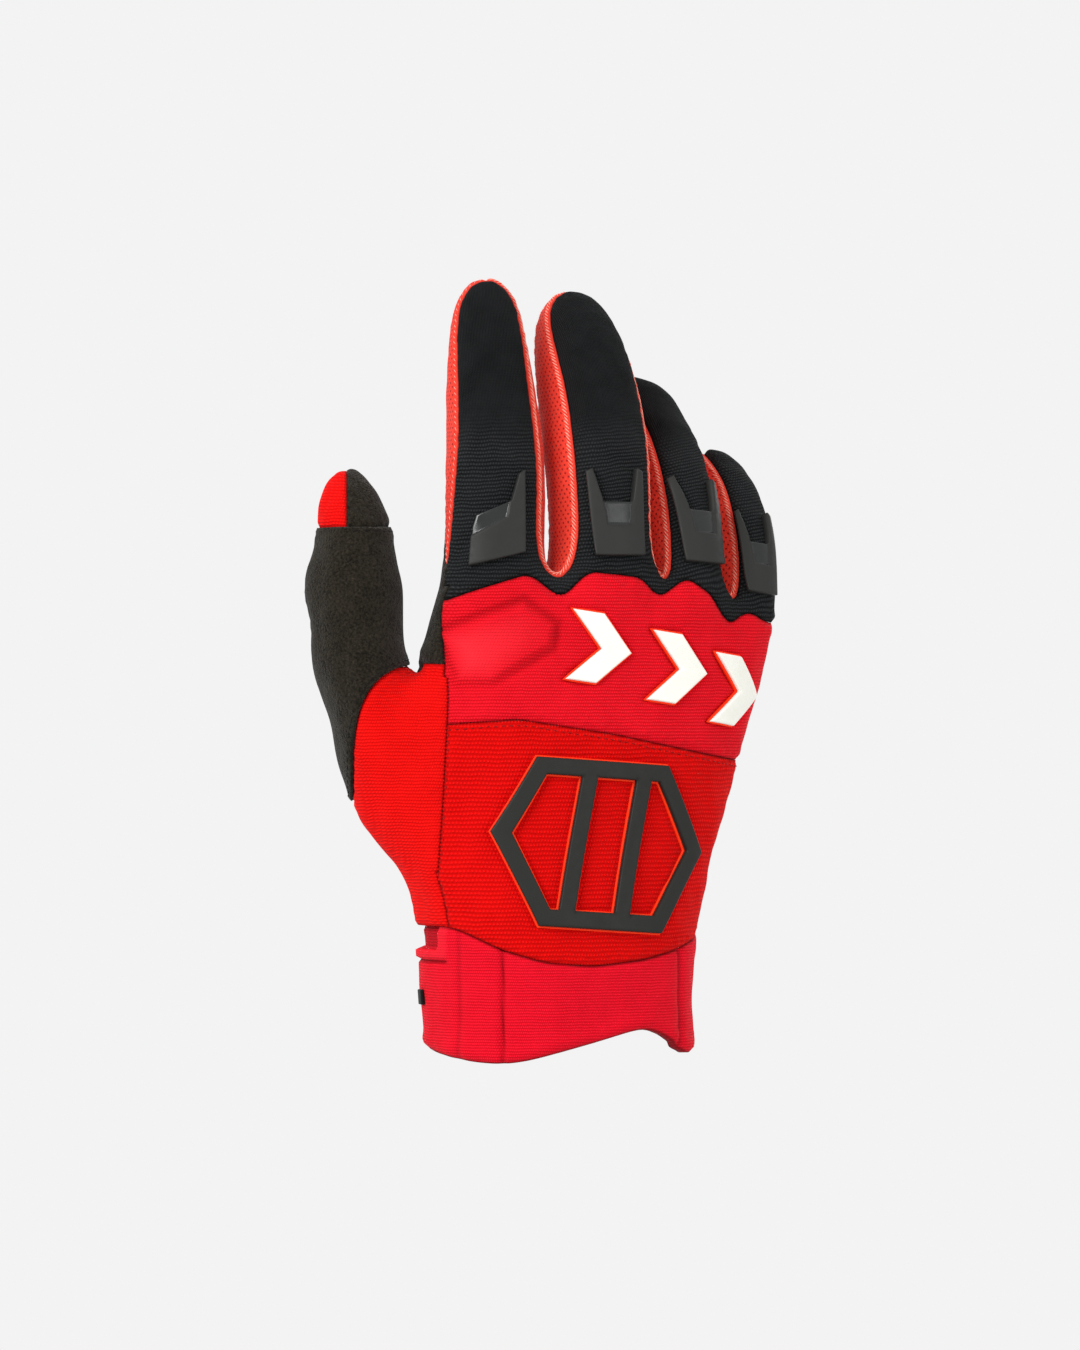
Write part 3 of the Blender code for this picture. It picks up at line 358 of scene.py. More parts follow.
def add_hand_row(cage, points, near_thumb):
    """A row of cage points. near_thumb moves its side seam towards the back, where the gusset is sewn in."""
    ring = []
    for k, at in enumerate(points):
        back = 0.0 if k in (0, 10) else corner_back if k in (1, 9, 11, 19) else 1.0
        top = back - side_seam
        if near_thumb and k == 1:
            top = gusset_top
        if k > 10 or near_thumb and k == 0:
            top = -1.0
        ring.append(cage.point(at, back=-back if k > 10 else back, top=top))
    return ring


def add_hand(cage, top_row):
    """Rows from the knuckles to the cuff's edge, with an opening for the thumb. Gives the opening's ring."""
    rows = [top_row]
    for number, (up, across, away, breadth, depth, slope) in enumerate(HAND_ROWS):
        points = hand_row_points(up, across, away, breadth * hand_breadth, depth * hand_depth)
        for at in points:
            at[2] -= slope * ((at[0] / hand_breadth - across) / breadth) * glove_height
        rows.append(add_hand_row(cage, points, number > 0))
    for up, across, away, breadth, depth in WRIST_ROWS:
        points = hand_row_points(up, across, away, breadth * wrist_breadth, depth * wrist_depth)
        if up == 0.0:
            for at, rise in zip(points, CUFF_RISE):
                at[2] += rise * glove_height
        rows.append(add_hand_row(cage, points, True))
    opening_top, opening_foot = 2, 5
    for number, (upper, lower) in enumerate(zip(rows, rows[1:])):
        for k in range(20):
            nxt = (k + 1) % 20
            if k not in (0, 19) or not opening_top <= number < opening_foot:
                cage.quad((upper[k], lower[k], lower[nxt], upper[nxt]), HAND)
    beside = rows[opening_top:opening_foot + 1]
    near, far = ([row[k] for row in beside] for k in (1, 19))
    return [beside[0][0], *near, beside[-1][0], *far[::-1]]


def add_thumb(cage, lower):
    """Rings from the hand's opening to the thumb's tip."""
    count = len(lower)
    angles = [2.0 * math.pi * k / count for k in range(count)]
    for angle, index in zip(angles, lower):
        values = list(cage.points[index])
        values[NAIL] = -math.cos(angle)
        cage.points[index] = tuple(values)
    last = len(THUMB_ROWS) - 1
    near = np.array((0.0, -1.0, 0.0))
    for number, (up, across, away, lean, breadth, depth) in enumerate(THUMB_ROWS[:last]):
        lean = math.radians(lean)
        inward = np.array((math.cos(lean), 0.0, math.sin(lean)))
        ring = []
        for angle in angles:
            c, s = math.cos(angle), math.sin(angle)
            at = place(up, across, away) + inward * (c * breadth * thumb_breadth * cage_swell)
            at = at + near * (s * depth * thumb_depth * cage_swell)
            ring.append(cage.point(at, back=s, along=(number + 1) / (last + 1), nail=-c))
        cage.tube(lower[::-1], ring[::-1], THUMB)
        lower = ring
    cage.cap(lower[::-1], cage.point(place(*THUMB_ROWS[last][:3]), along=1.0), THUMB)


def build_cage():
    cage = Cage()
    top_row, bases = add_knuckles(cage)
    for zone, base in zip(FINGERS, bases):
        add_finger(cage, zone, base)
    add_thumb(cage, add_hand(cage, top_row))
    used, quads = np.unique(np.array(cage.quads), return_inverse=True)
    return np.array(cage.points)[used], quads.reshape(-1, 4), np.array(cage.zones)


def summed(count, index, values):
    """The sum of the values at each index."""
    total = np.zeros((count, values.shape[1]))
    np.add.at(total, index, values)
    return total


def edges_of(faces):
    """Every edge once, the edge after each corner of each face, and how many faces share an edge."""
    sides = np.stack([faces, np.roll(faces, -1, axis=1)], axis=2).reshape(-1, 2)
    edges, of_corner, used = np.unique(
        np.sort(sides, axis=1), axis=0, return_inverse=True, return_counts=True
    )
    return edges, of_corner.reshape(faces.shape), used


def smooth_once(points, quads, zones):
    """One Catmull-Clark step on an open mesh of quads, with every column smoothed alike."""
    count = len(points)
    edges, of_corner, used = edges_of(quads)
    face_points = points[quads].mean(axis=1)
    edge_middles = points[edges].mean(axis=1)
    at_corners = np.repeat(face_points, 4, axis=0)
    beside = summed(len(edges), of_corner.ravel(), at_corners)
    edge_points = np.where(used[:, None] == 2, (edge_middles * 2 + beside) / 4, edge_middles)
    faces_sum = summed(count, quads.ravel(), at_corners)
    face_count = np.bincount(quads.ravel(), minlength=count)[:, None]
    middles_sum = summed(count, edges.T.ravel(), np.tile(edge_middles, (2, 1)))
    n = np.bincount(edges.ravel(), minlength=count)[:, None]
    moved = (faces_sum / face_count + 2 * middles_sum / n + (n - 3) * points) / n
    rim = edges[used == 1].T
    rim_sum = summed(count, rim.ravel(), points[rim[::-1].ravel()])
    on_rim = np.unique(rim)
    moved[on_rim] = 0.75 * points[on_rim] + 0.125 * rim_sum[on_rim]
    edge_index = count + of_corner
    face_index = count + len(edges) + np.arange(len(quads))
    parts = [(quads[:, k], edge_index[:, k], face_index, edge_index[:, k - 1]) for k in range(4)]
    new_quads = np.stack([np.stack(part, axis=1) for part in parts], axis=1).reshape(-1, 4)
    return np.concatenate([moved, edge_points, face_points]), new_quads, np.repeat(zones, 4)


def to_triangles(points, quads, zones):
    """Splits each quad along its shorter diagonal."""
    a, b, c, d = (points[quads[:, k], :3] for k in range(4))
    by_first = (np.linalg.norm(a - c, axis=1) <= np.linalg.norm(b - d, axis=1))[:, None]
    one = np.where(by_first, quads[:, (0, 1, 2)], quads[:, (0, 1, 3)])
    two = np.where(by_first, quads[:, (0, 2, 3)], quads[:, (1, 2, 3)])
    return np.concatenate([one, two]), np.tile(zones, 2)


class Shell:
    """The whole skin as triangles. Each cut adds a seam that no triangle crosses."""

    snap = 0.20

    def __init__(self, points, triangles, zones):
        self.points = points
        self.triangles = triangles
        self.zones = zones
        self.locked = np.zeros(len(points), bool)

    def column(self, name):
        return self.points[:, name]

    def middles(self, values):
        """The mean of a value over each triangle."""
        return values[self.triangles].mean(axis=1)

    def over(self, values):
        """Marks the triangles over which a value is positive in the mean."""
        return self.middles(values) > 0

    def within(self, *zones):
        return np.isin(self.zones, zones)

    def cut(self, values, inside):
        """Splits the triangles of inside where values change sign. values has one number a point."""
        pairs, of_triangle, _ = edges_of(self.triangles)
        wanted = np.zeros(len(pairs), bool)
        wanted[of_triangle[inside].ravel()] = True
        values = self.snapped(values.copy(), pairs, wanted)
        crossed, share = self.crossings(values, pairs, wanted, 0.0)
        new_at = np.cumsum(crossed) - 1 + len(self.points)
        first, second = self.points[pairs[crossed].T]
        t = share[crossed][:, None]
        added = first * (1 - t) + second * t
        touched = np.zeros(len(values), bool)
        touched[pairs[wanted].ravel()] = True
        on_seam = (values == 0) & touched
        self.locked = np.concatenate([self.locked | on_seam, np.ones(len(added), bool)])
        self.points = np.concatenate([self.points, added])
        self.split(crossed, new_at, of_triangle)

    @staticmethod
    def crossings(values, pairs, wanted, otherwise):
        """Marks the edges that the seam crosses, and gives the share of the way to it from their start."""
        a, b = values[pairs].T
        crossed = wanted & (a * b < 0)
        return crossed, np.where(crossed, a / np.where(crossed, a - b, 1.0), otherwise)

    def snapped(self, values, pairs, wanted):
        """Moves points that lie close to the seam onto it, so that no thin triangles arise."""
        crossed, share = self.crossings(values, pairs, wanted, 0.5)
        nearest = {}
        for edge in np.nonzero(crossed & ((share < self.snap) | (share > 1 - self.snap)))[0]:
            near_first = share[edge] < 0.5
            at, other = pairs[edge] if near_first else pairs[edge][::-1]
            way = share[edge] if near_first else 1 - share[edge]
            if at not in nearest or way < nearest[at][0]:
                nearest[at] = (way, other)
        before = self.points.copy()
        for at, (way, other) in nearest.items():
            values[at] = 0.0
            if not self.locked[at]:
                self.points[at] = before[at] * (1 - way) + before[other] * way
        return values

    def split(self, crossed, new_at, of_triangle):
        """Cuts each triangle at its crossed edges."""
        hit = crossed[of_triangle]
        count = hit.sum(axis=1)
        triangles, zones = [self.triangles[count == 0]], [self.zones[count == 0]]

        def add(chosen, corners):
            triangles.extend(np.stack(three, 1) for three in corners)
            zones.extend([self.zones[chosen]] * len(corners))

        for k in range(3):
            order = (k, (k + 1) % 3, (k + 2) % 3)
            only = (count == 1) & hit[:, k]
            a, b, c = self.triangles[only][:, order].T
            m = new_at[of_triangle[only][:, k]]
            add(only, [(a, m, c), (m, b, c)])
            both = (count == 2) & hit[:, k] & hit[:, order[1]]
            a, b, c = self.triangles[both][:, order].T
            m, n = new_at[of_triangle[both][:, order[:2]]].T
            add(both, [(m, b, n), (a, m, n), (a, n, c)])
        self.triangles = np.concatenate(triangles)
        self.zones = np.concatenate(zones)

    def normals(self):
        """The outward direction at each point."""
        a, b, c = self.points[self.triangles.T, :3]
        flat = np.cross(b - a, c - a)
        total = summed(len(self.points), self.triangles.T.ravel(), np.tile(flat, (3, 1)))
        return total / np.linalg.norm(total, axis=1)[:, None]


def curve(table, shell):
    """How high each point lies above a seam that is drawn across and up."""
    across, up = np.array(table).T
    shifts = np.linspace(-seam_rounding, seam_rounding, 7)
    lines = [
        np.interp(shell.points[:, 0] + shift, across * hand_breadth, up * glove_height) for shift in shifts
    ]
    return shell.points[:, 2] - np.mean(lines, axis=0)


def cuff_field(shell):
    """Positive above the cuff's seam, which dips on the back of the hand."""
    on_back = ease(shell.column(BACK))
    on_palm = shell.points[:, 2] - cuff_seam_up * glove_height
    return on_palm * (1.0 - on_back) + curve(CUFF_SEAM, shell) * on_back


def gusset_field(shell):
    """Positive on the back's side of the seam of gusset and palm, which turns to the palm near the wrist."""
    share_up = shell.points[:, 2] / glove_height
    turned = ease((gusset_turn_from - share_up) / (gusset_turn_from - gusset_turn_to))
    return shell.column(BACK) - gusset_back - turned * (gusset_wrist_back - gusset_back)


def wrap_field(shell):
    """Positive on the hand's side of the edge of the thumb's suede wrap."""
    across, up = across_up(*wrap_corner)
    radius_across, radius_up = across_up(*wrap_radii)
    sideways = np.maximum(0.0, across - shell.points[:, 0]) / radius_across
    upward = np.maximum(0.0, shell.points[:, 2] - up) / radius_up
    return 1.0 - sideways**wrap_power - upward**wrap_power


def hem_field(shell):
    """How high each point lies above the wrap's top hem."""
    return shell.points[:, 2] - hem_up * glove_height


def far_nail_field(shell):
    """Positive on the strip of knit that the wrap leaves bare on the far side of the nail."""
    share_up = shell.points[:, 2] / glove_height
    rise = (share_up - sliver_up) / sliver_height
    edge = sliver_edge - sliver_depth * np.exp(-rise * rise)
    beside = np.minimum(shell.column(NAIL) - sliver_nail, -shell.column(BACK) - edge)
    return np.minimum(beside, (share_up - sliver_foot) / sliver_height)


def fourchette_top(shell):
    """How far a fourchette reaches from the middle of a finger's side, narrower to the tip."""
    return fourchette_half - fourchette_narrowing * ease((shell.column(ALONG) - 0.55) / 0.40)


def strip_edges(shell):
    """The back and palm edges of the strips on the two outer sides, which meet at the knuckle."""
    wide = ease(shell.column(ALONG) / 0.55)
    narrow = strip_narrowing * ease((shell.column(ALONG) - 0.60) / 0.35)
    back = side_seam + (fourchette_half - side_seam) * wide - narrow
    palm = side_seam - (fourchette_half + side_seam) * wide + narrow
    return back, palm


strip_start, strip_end = 0.10, 0.93


def cut_seams(shell):
    """Adds every seam to the shell. A later cut doesn't move a point of an earlier one."""
    within, over, column = shell.within, shell.over, shell.column

    def above_cuff():
        return over(cuff_field(shell))

    def thumb_side():
        return within(HAND, THUMB) & over(-column(TOP)) & over(-column(0)) & above_cuff()

    def below_hem():
        return within(THUMB) & over(-wrap_field(shell))

    shell.cut(cuff_field(shell), within(HAND))
    shell.cut(column(TOP), within(HAND) & above_cuff())
    for table in (SCALLOP, KNUCKLE_SEAM):
        shell.cut(curve(table, shell), within(HAND) & over(column(TOP)) & above_cuff())
    shell.cut(wrap_field(shell), thumb_side() & (shell.middles(column(BACK)) > -0.9))
    shell.cut(gusset_field(shell), thumb_side() & over(wrap_field(shell)))
    shell.cut(hem_field(shell), below_hem())
    shell.cut(column(NAIL) - nail_seam, within(THUMB) & over(hem_field(shell)))
    shell.cut(far_nail_field(shell), below_hem() & over(-hem_field(shell)))
    for sign in (1.0, -1.0):
        reach = fourchette_top(shell)
        shell.cut(sign * column(BACK) - reach, within(*FINGERS) & ~outer_side(shell))
    for number in range(2):
        shell.cut(column(BACK) - strip_edges(shell)[number], within(*FINGERS) & outer_side(shell))
    for limit in (strip_start, strip_end):
        shell.cut(column(ALONG) - limit, in_strip(shell) & outer_side(shell))
    shell.cut(column(ALONG) - strip_end, in_strip(shell))
    shell.cut(column(BACK), within(*FINGERS) & (shell.middles(column(ALONG)) > strip_end))
    shell.cut(curve(SCALLOP, shell), within(*FINGERS) & over(column(BACK)))


def beside_finger(points, zone):
    """How far points lie beside a finger's middle and behind it, across and away from its rows."""
    rows = np.array([row[:3] for row in FINGERS[zone][1]])
    up = rows[:, 0] * glove_height
    across = points[:, 0] - np.interp(points[:, 2], up, rows[:, 1] * hand_breadth)
    away = points[:, 1] - np.interp(points[:, 2], up, rows[:, 2] * hand_breadth)
    return rows, up, across, away


def finger_middle(shell, zone):
    """How far each triangle lies beside its finger's middle, positive away from the thumb."""
    roll = math.radians(FINGERS[zone][0])
    _, _, across, away = beside_finger(shell.points[shell.triangles][:, :, :3].mean(axis=1), zone)
    return across * math.cos(roll) + away * math.sin(roll)


def outer_side(shell):
    """Marks the outer side of the index and the little finger."""
    index = (shell.zones == INDEX) & (finger_middle(shell, INDEX) < 0)
    little = (shell.zones == LITTLE) & (finger_middle(shell, LITTLE) > 0)
    return index | little


def in_strip(shell):
    """Marks the triangles between the back and palm seams of a finger's side."""
    back = shell.middles(shell.column(BACK))
    upper, lower = (shell.middles(edge) for edge in strip_edges(shell))
    outer = (back < upper) & (back > lower)
    inner = np.abs(back) < shell.middles(fourchette_top(shell))
    return shell.within(*FINGERS) & np.where(outer_side(shell), outer, inner)


def name_panels(shell):
    """The panel that each triangle belongs to. A later row of the list overrules an earlier one."""
    back, along, nail = (shell.middles(shell.column(c)) for c in (BACK, ALONG, NAIL))
    hand, thumb, fingers = shell.within(HAND), shell.within(THUMB), shell.within(*FINGERS)
    on_back = hand & shell.over(shell.column(TOP))
    beside = (hand & shell.over(-shell.column(TOP)) & shell.over(-shell.column(0))) | thumb
    inside_wrap = shell.over(wrap_field(shell))
    wrapped = thumb & ~inside_wrap
    above_hem = thumb & shell.over(hem_field(shell))
    outer = outer_side(shell)
    edge = np.where(outer, shell.middles(strip_edges(shell)[0]), shell.middles(fourchette_top(shell)))
    edge = np.where(along > strip_end, 0.0, edge)
    strip = in_strip(shell) & (along < strip_end) & (~outer | (along > strip_start))
    rows = [
        ("knuckle_panel", on_back),
        ("finger_backs", on_back & shell.over(curve(SCALLOP, shell))),
        ("hand_back", on_back & shell.over(-curve(KNUCKLE_SEAM, shell))),
        ("thumb_gusset", beside & inside_wrap & shell.over(gusset_field(shell))),
        ("thumb_wrap", wrapped),
        ("thumb_front", above_hem),
        ("thumb_back", above_hem & (nail > nail_seam)),
        ("thumb_back", wrapped & ~above_hem & shell.over(far_nail_field(shell))),
        ("finger_backs", fingers & (back > edge)),
        ("side_strip_index", strip & outer & shell.within(INDEX)),
        ("side_strip_little", strip & outer & shell.within(LITTLE)),
        ("cuff", hand & shell.over(-cuff_field(shell))),
    ]
    for zone, pair in enumerate(("index_middle", "middle_ring", "ring_little"), INDEX):
        right = shell.within(zone) & (finger_middle(shell, zone) > 0)
        left_of_next = shell.within(zone + 1) & (finger_middle(shell, zone + 1) < 0)
        rows.append(("fourchette_" + pair, strip & ~outer & (right | left_of_next)))
    names = np.full(len(shell.triangles), "palm", dtype="<U32")
    for name, chosen in rows:
        names[chosen] = name
    names[fingers & (names == "finger_backs") & shell.over(-curve(SCALLOP, shell))] = "knuckle_panel"
    return names


def turned(points):
    """Turns points from the tables' view to the glove's own front."""
    c, s = math.cos(view_turn), math.sin(view_turn)
    x = points[:, 0] * c + points[:, 1] * s
    y = points[:, 1] * c - points[:, 0] * s
    return np.stack([x, y, points[:, 2]], axis=1)


def rim_steps(points, triangles, normals):
    """A patch's rim edges, and for each rim point the step inward that moves both its edges by one."""
    sides = np.stack([triangles, np.roll(triangles, -1, axis=1)], axis=2).reshape(-1, 2).tolist()
    keys = {tuple(side) for side in sides}
    rim = [(a, b) for a, b in sides if (b, a) not in keys]
    inward = {}
    for a, b in rim:
        step = unit(np.cross((normals[a] + normals[b]) / 2, points[b] - points[a]))
        inward.setdefault(a, []).append(step)
        inward.setdefault(b, []).append(step)
    steps = {}
    for end, ways in inward.items():
        bend = max(1.0 + float(np.dot(ways[0], ways[-1])), 0.6)
        steps[end] = np.sum(ways, axis=0) / (bend if len(ways) == 2 else len(ways))
    return rim, steps


def line_points(corners, step):
    """The corners of a closed outline with points added, so that no edge is longer than step."""
    spots = []
    for start, end in zip(corners, (*corners[1:], corners[0])):
        count = max(1, math.ceil(math.dist(start, end) / step))
        for part in range(count):
            spots.append(tuple(s + (e - s) * (part / count) for s, e in zip(start, end)))
    return spots


def inset(outline, width):
    """A closed outline moved to its left by width: into a shape that runs counter-clockwise."""
    spots = []
    for k, here in enumerate(outline):
        before, after = Vector(outline[k - 1]), Vector(outline[(k + 1) % len(outline)])
        here = Vector(here)
        one, two = (here - before).normalized(), (after - here).normalized()
        left = Vector((-one.y - two.y, one.x + two.x))
        spots.append(tuple(here + left * (width / max(1.0 + one.dot(two), 0.5))))
    return spots


class Skin:
    """Finds the shell's surface and its direction along a straight look from outside."""

    def __init__(self, shell):
        self.points = shell.points[:, :3]
        self.triangles = shell.triangles
        self.normals = shell.normals()
        self.tree = BVHTree.FromPolygons(self.points.tolist(), self.triangles.tolist())

    def at(self, start, way):
        spot, _, index, _ = self.tree.ray_cast(Vector(start), Vector(way))
        three = self.triangles[index]
        ways = self.points[three] - spot
        areas = [np.linalg.norm(np.cross(ways[k - 2], ways[k - 1])) for k in range(3)]
        return np.array(spot), unit(sum(area * self.normals[k] for area, k in zip(areas, three)))


# Outlines as shares of width and height from the middle, counter-clockwise as seen
GUARD_U = (
    (-0.46, -0.50), (0.44, -0.50), (0.50, 0.46), (0.40, 0.50),
    (0.27, 0.12), (-0.27, 0.12), (-0.40, 0.50), (-0.50, 0.46),
)
GUARD_L = (
    (-0.50, -0.50), (0.50, -0.36), (0.50, 0.50), (0.40, 0.46),
    (0.26, 0.18), (-0.37, 0.03), (-0.44, -0.10),
)
WINDOW_U = ((-0.22, -0.15), (0.21, -0.15), (0.26, 0.13), (-0.27, 0.13))
WINDOW_L = ((-0.47, -0.20), (0.17, 0.00), (0.24, 0.20), (-0.42, 0.07))

CHEVRON = ((-0.50, -0.50), (-0.02, -0.50), (0.50, 0.00), (-0.02, 0.50), (-0.50, 0.50), (0.02, 0.00))
HEXAGON = ((-0.50, 0.04), (-0.30, -0.50), (0.28, -0.50), (0.50, 0.00), (0.30, 0.50), (-0.32, 0.50))

# Guards: where the middle lies across and up, its lean in degrees, its width and height as shares of a
# guard's, and its outline and window
GUARDS = {
    "guard_index": ((-0.188, 0.674), 0.0, 0.95, 1.10, GUARD_L, WINDOW_L),
    "guard_middle": ((0.171, 0.682), 0.0, 1.0, 1.0, GUARD_U, WINDOW_U),
    "guard_ring": ((0.425, 0.672), -4.0, 0.86, 0.98, GUARD_U, WINDOW_U),
    "guard_little": ((0.602, 0.632), -6.0, 0.64, 0.95, GUARD_U, WINDOW_U),
}
guard_top_height = 2.3 * MM
window_depth = 0.8 * MM
window_slope = 0.18 * MM

# The middles of the raised bars and of the badge, across and up, and their lean in degrees
BARS = {
    "knuckle_bar_1": (0.118, 0.510),
    "knuckle_bar_2": (0.352, 0.484),
    "knuckle_bar_3": (0.530, 0.456),
}
bar_lean = -8.0
badge_place = (0.130, 0.262)
badge_lean = -4.0
SQUARE = ((-0.50, -0.50), (0.50, -0.50), (0.50, 0.50), (-0.50, 0.50))
tab_across = -0.482
tab_up = 0.070


def scaled(outline, width, height, lean=0.0):
    """An outline of shares at its size, turned by lean degrees."""
    c, s = math.cos(math.radians(lean)), math.sin(math.radians(lean))
    sized = [(x * width, y * height) for x, y in outline]
    return [(x * c - y * s, x * s + y * c) for x, y in sized]


def badge_loops():
    """A six-sided frame with two slanting bars across it, which leave three windows."""
    outer = scaled(HEXAGON, badge_width, badge_height)
    left, foot_left, foot_right, right, head_right, head_left = inset(outer, badge_stroke)

    def bar_edge(side, middle):
        """Foot and head of a bar's left or right edge."""
        edge = middle + side * badge_stroke / 2
        return (edge - badge_slant / 2, foot_left[1]), (edge + badge_slant / 2, head_left[1])

    one, two, three, four = (
        bar_edge(side, middle) for middle in (-badge_bar_offset, badge_bar_offset) for side in (-1, 1)
    )
    return [
        outer,
        [left, head_left, one[1], one[0], foot_left],
        [two[0], two[1], three[1], three[0]],
        [four[0], four[1], head_right, right, foot_right],
    ]


# How often the cage is smoothed
scene_level = 4


def waves(points, length, seed):
    """A smooth random field between about -1 and 1, whose waves have much the same length."""
    rng = np.random.default_rng(seed)
    total = np.zeros(len(points))
    for _ in range(7):
        way = rng.normal(size=3)
        way = unit(way) * (2.0 * math.pi / length) * rng.uniform(0.8, 1.25)
        total += np.sin(points[:, :3] @ way + rng.uniform(0.0, 2.0 * math.pi))
    return total / math.sqrt(7.0)


def hump(value, width):
    """1 at 0, falling away over width on either side."""
    return np.exp(-((value / width) ** 2))


def loop_distance(spots, loops):
    """How far flat spots lie inside an outline with holes. It is negative outside."""
    best = np.full(len(spots), np.inf)
    inside = np.zeros(len(spots), bool)
    for loop in loops:
        corners = np.asarray(loop, float)
        for start, end in zip(corners, np.roll(corners, -1, axis=0)):
            way = end - start
            share = np.clip(((spots - start) @ way) / (way @ way), 0.0, 1.0)
            away = np.linalg.norm(spots - start - share[:, None] * way, axis=1)
            best = np.minimum(best, away)
            if start[1] != end[1]:
                crosses = (start[1] > spots[:, 1]) != (end[1] > spots[:, 1])
                inside ^= crosses & (spots[:, 0] < start[0] + (spots[:, 1] - start[1]) * way[0] / way[1])
    return np.where(inside, best, -best)


# The embossed pad: its outline in millimetres, across and up, and its height, shoulder and groove
PAD = ((-36.5, 125.5), (-10.5, 134.5), (-1.0, 127.5), (-2.0, 120.5), (-20.1, 109.3), (-31.0, 109.3))
pad_height = 1.5 * MM
pad_shoulder = 2.6 * MM
groove_depth = 0.85 * MM
groove_width = 0.70 * MM

# Soft dents and bulges: across and up of the middle, half widths, and height, in millimetres
DENTS = (
    (-74.5, 151.5, 7.0, 7.5, -1.5),
    (-74.5, 127.0, 7.0, 7.5, -1.6),
    (-70.5, 99.0, 8.0, 13.0, -1.6),
    (-51.0, 158.5, 5.0, 5.0, 0.6),
    (-39.2, 118.5, 3.2, 4.2, 1.6),
    (-43.5, 123.0, 2.5, 5.5, -0.8),
    (-46.5, 141.0, 4.0, 9.0, 0.7),
    (-38.5, 1.6, 2.4, 0.7, -0.9),
    (-43.0, 17.0, 5.0, 9.0, 0.9),
    (41.0, 38.0, 5.0, 4.0, -0.6),
    (46.0, 50.0, 6.0, 3.5, 0.5),
    (-62.0, 70.0, 10.0, 5.0, 0.5),
)

# Grooves sewn down the cuff: across, depth and half width in millimetres
CUFF_GROOVES = ((-30.3, 0.55, 1.5), (-17.1, 1.25, 1.0), (36.0, 1.0, 1.0))

# Soft folds down the cuff's palm side: across in millimetres
CUFF_FOLDS = (-24.0, 8.0, 30.0)

# The cuff's bound slit: its edge across and its foot in millimetres, its depth, and the binding's width
# in millimetres and its height
slit_across = -36.0
slit_foot = 30.6
slit_depth = 2.3 * MM
binding_width = 2.5
binding_height = 0.75 * MM

# Folds across the palm: up at the middle, slope, from and to across, and depth, in millimetres
PALM_FOLDS = (
    (116.0, 0.10, -6.0, 52.0, 0.8),
    (101.0, -0.22, -34.0, 34.0, 0.9),
    (72.0, -0.95, -34.0, 8.0, 0.8),
    (133.0, 0.02, -32.0, 54.0, 0.5),
    (52.0, 0.06, -26.0, 36.0, 0.5),
)


def common_relief(points, seam_distance):
    """Soft dents, and the unevenness of cloth that is sewn and worn."""
    p, z = points[:, 0] / MM, points[:, 2] / MM
    height = np.zeros(len(points))
    for across, up, half_across, half_up, rise in DENTS:
        height += rise * MM * hump(p - across, half_across) * hump(z - up, half_up)
    inner = 1.0 - hump(seam_distance, 3.5 * MM)
    pucker = hump(seam_distance - 1.6 * MM, 2.2 * MM)
    # Share, height and length of the waves in millimetres, and their seed
    for share, rise, length, seed in ((inner, 0.22, 17, 3), (inner, 0.10, 7, 5), (pucker, 0.13, 3.2, 8)):
        height += share * rise * MM * waves(points, length * MM, seed)
    return height


def knuckle_relief(points, normals):
    """The padded hexagon at the index finger's knuckle: its height, and painted shade in the groove round it
    with a painted highlight (negative) across the pad.
    """
    near = ease(-normals[:, 1] + 0.5)
    inside = loop_distance(points[:, (0, 2)] / MM, [PAD]) * MM
    height = pad_height * ease(inside / pad_shoulder)
    height -= 0.6 * groove_depth * hump(inside + 0.6 * MM, 1.5 * groove_width)
    p, z = points[:, 0] / MM, points[:, 2] / MM
    # Painted shade in the groove round the pad, darker along its upper edge
    upper = ease((z - 112.0) / 14.0)
    crease = (0.06 + 0.26 * upper) * hump(inside + 0.5 * MM, 1.4 * MM)
    # Painted highlight across the pad, stronger to the left, where the key light falls
    crease -= (0.20 + 0.55 * ease((-6.0 - p) / 26.0)) * ease(inside / (3.0 * pad_shoulder))
    return height * near, crease * near


def palm_relief(points, normals):
    """The lines that a palm folds along: their height, and no painted shade and no painted highlight."""
    p, z = points[:, 0] / MM, points[:, 2] / MM
    height = np.zeros(len(points))
    for up, slope, low, high, depth in PALM_FOLDS:
        along = ease((p - low) / 8.0) * ease((high - p) / 8.0)
        height -= depth * MM * along * hump(z - up - slope * p, 1.5)
    return height * ease(normals[:, 1] * 2.0 - 0.3), np.zeros(len(points))


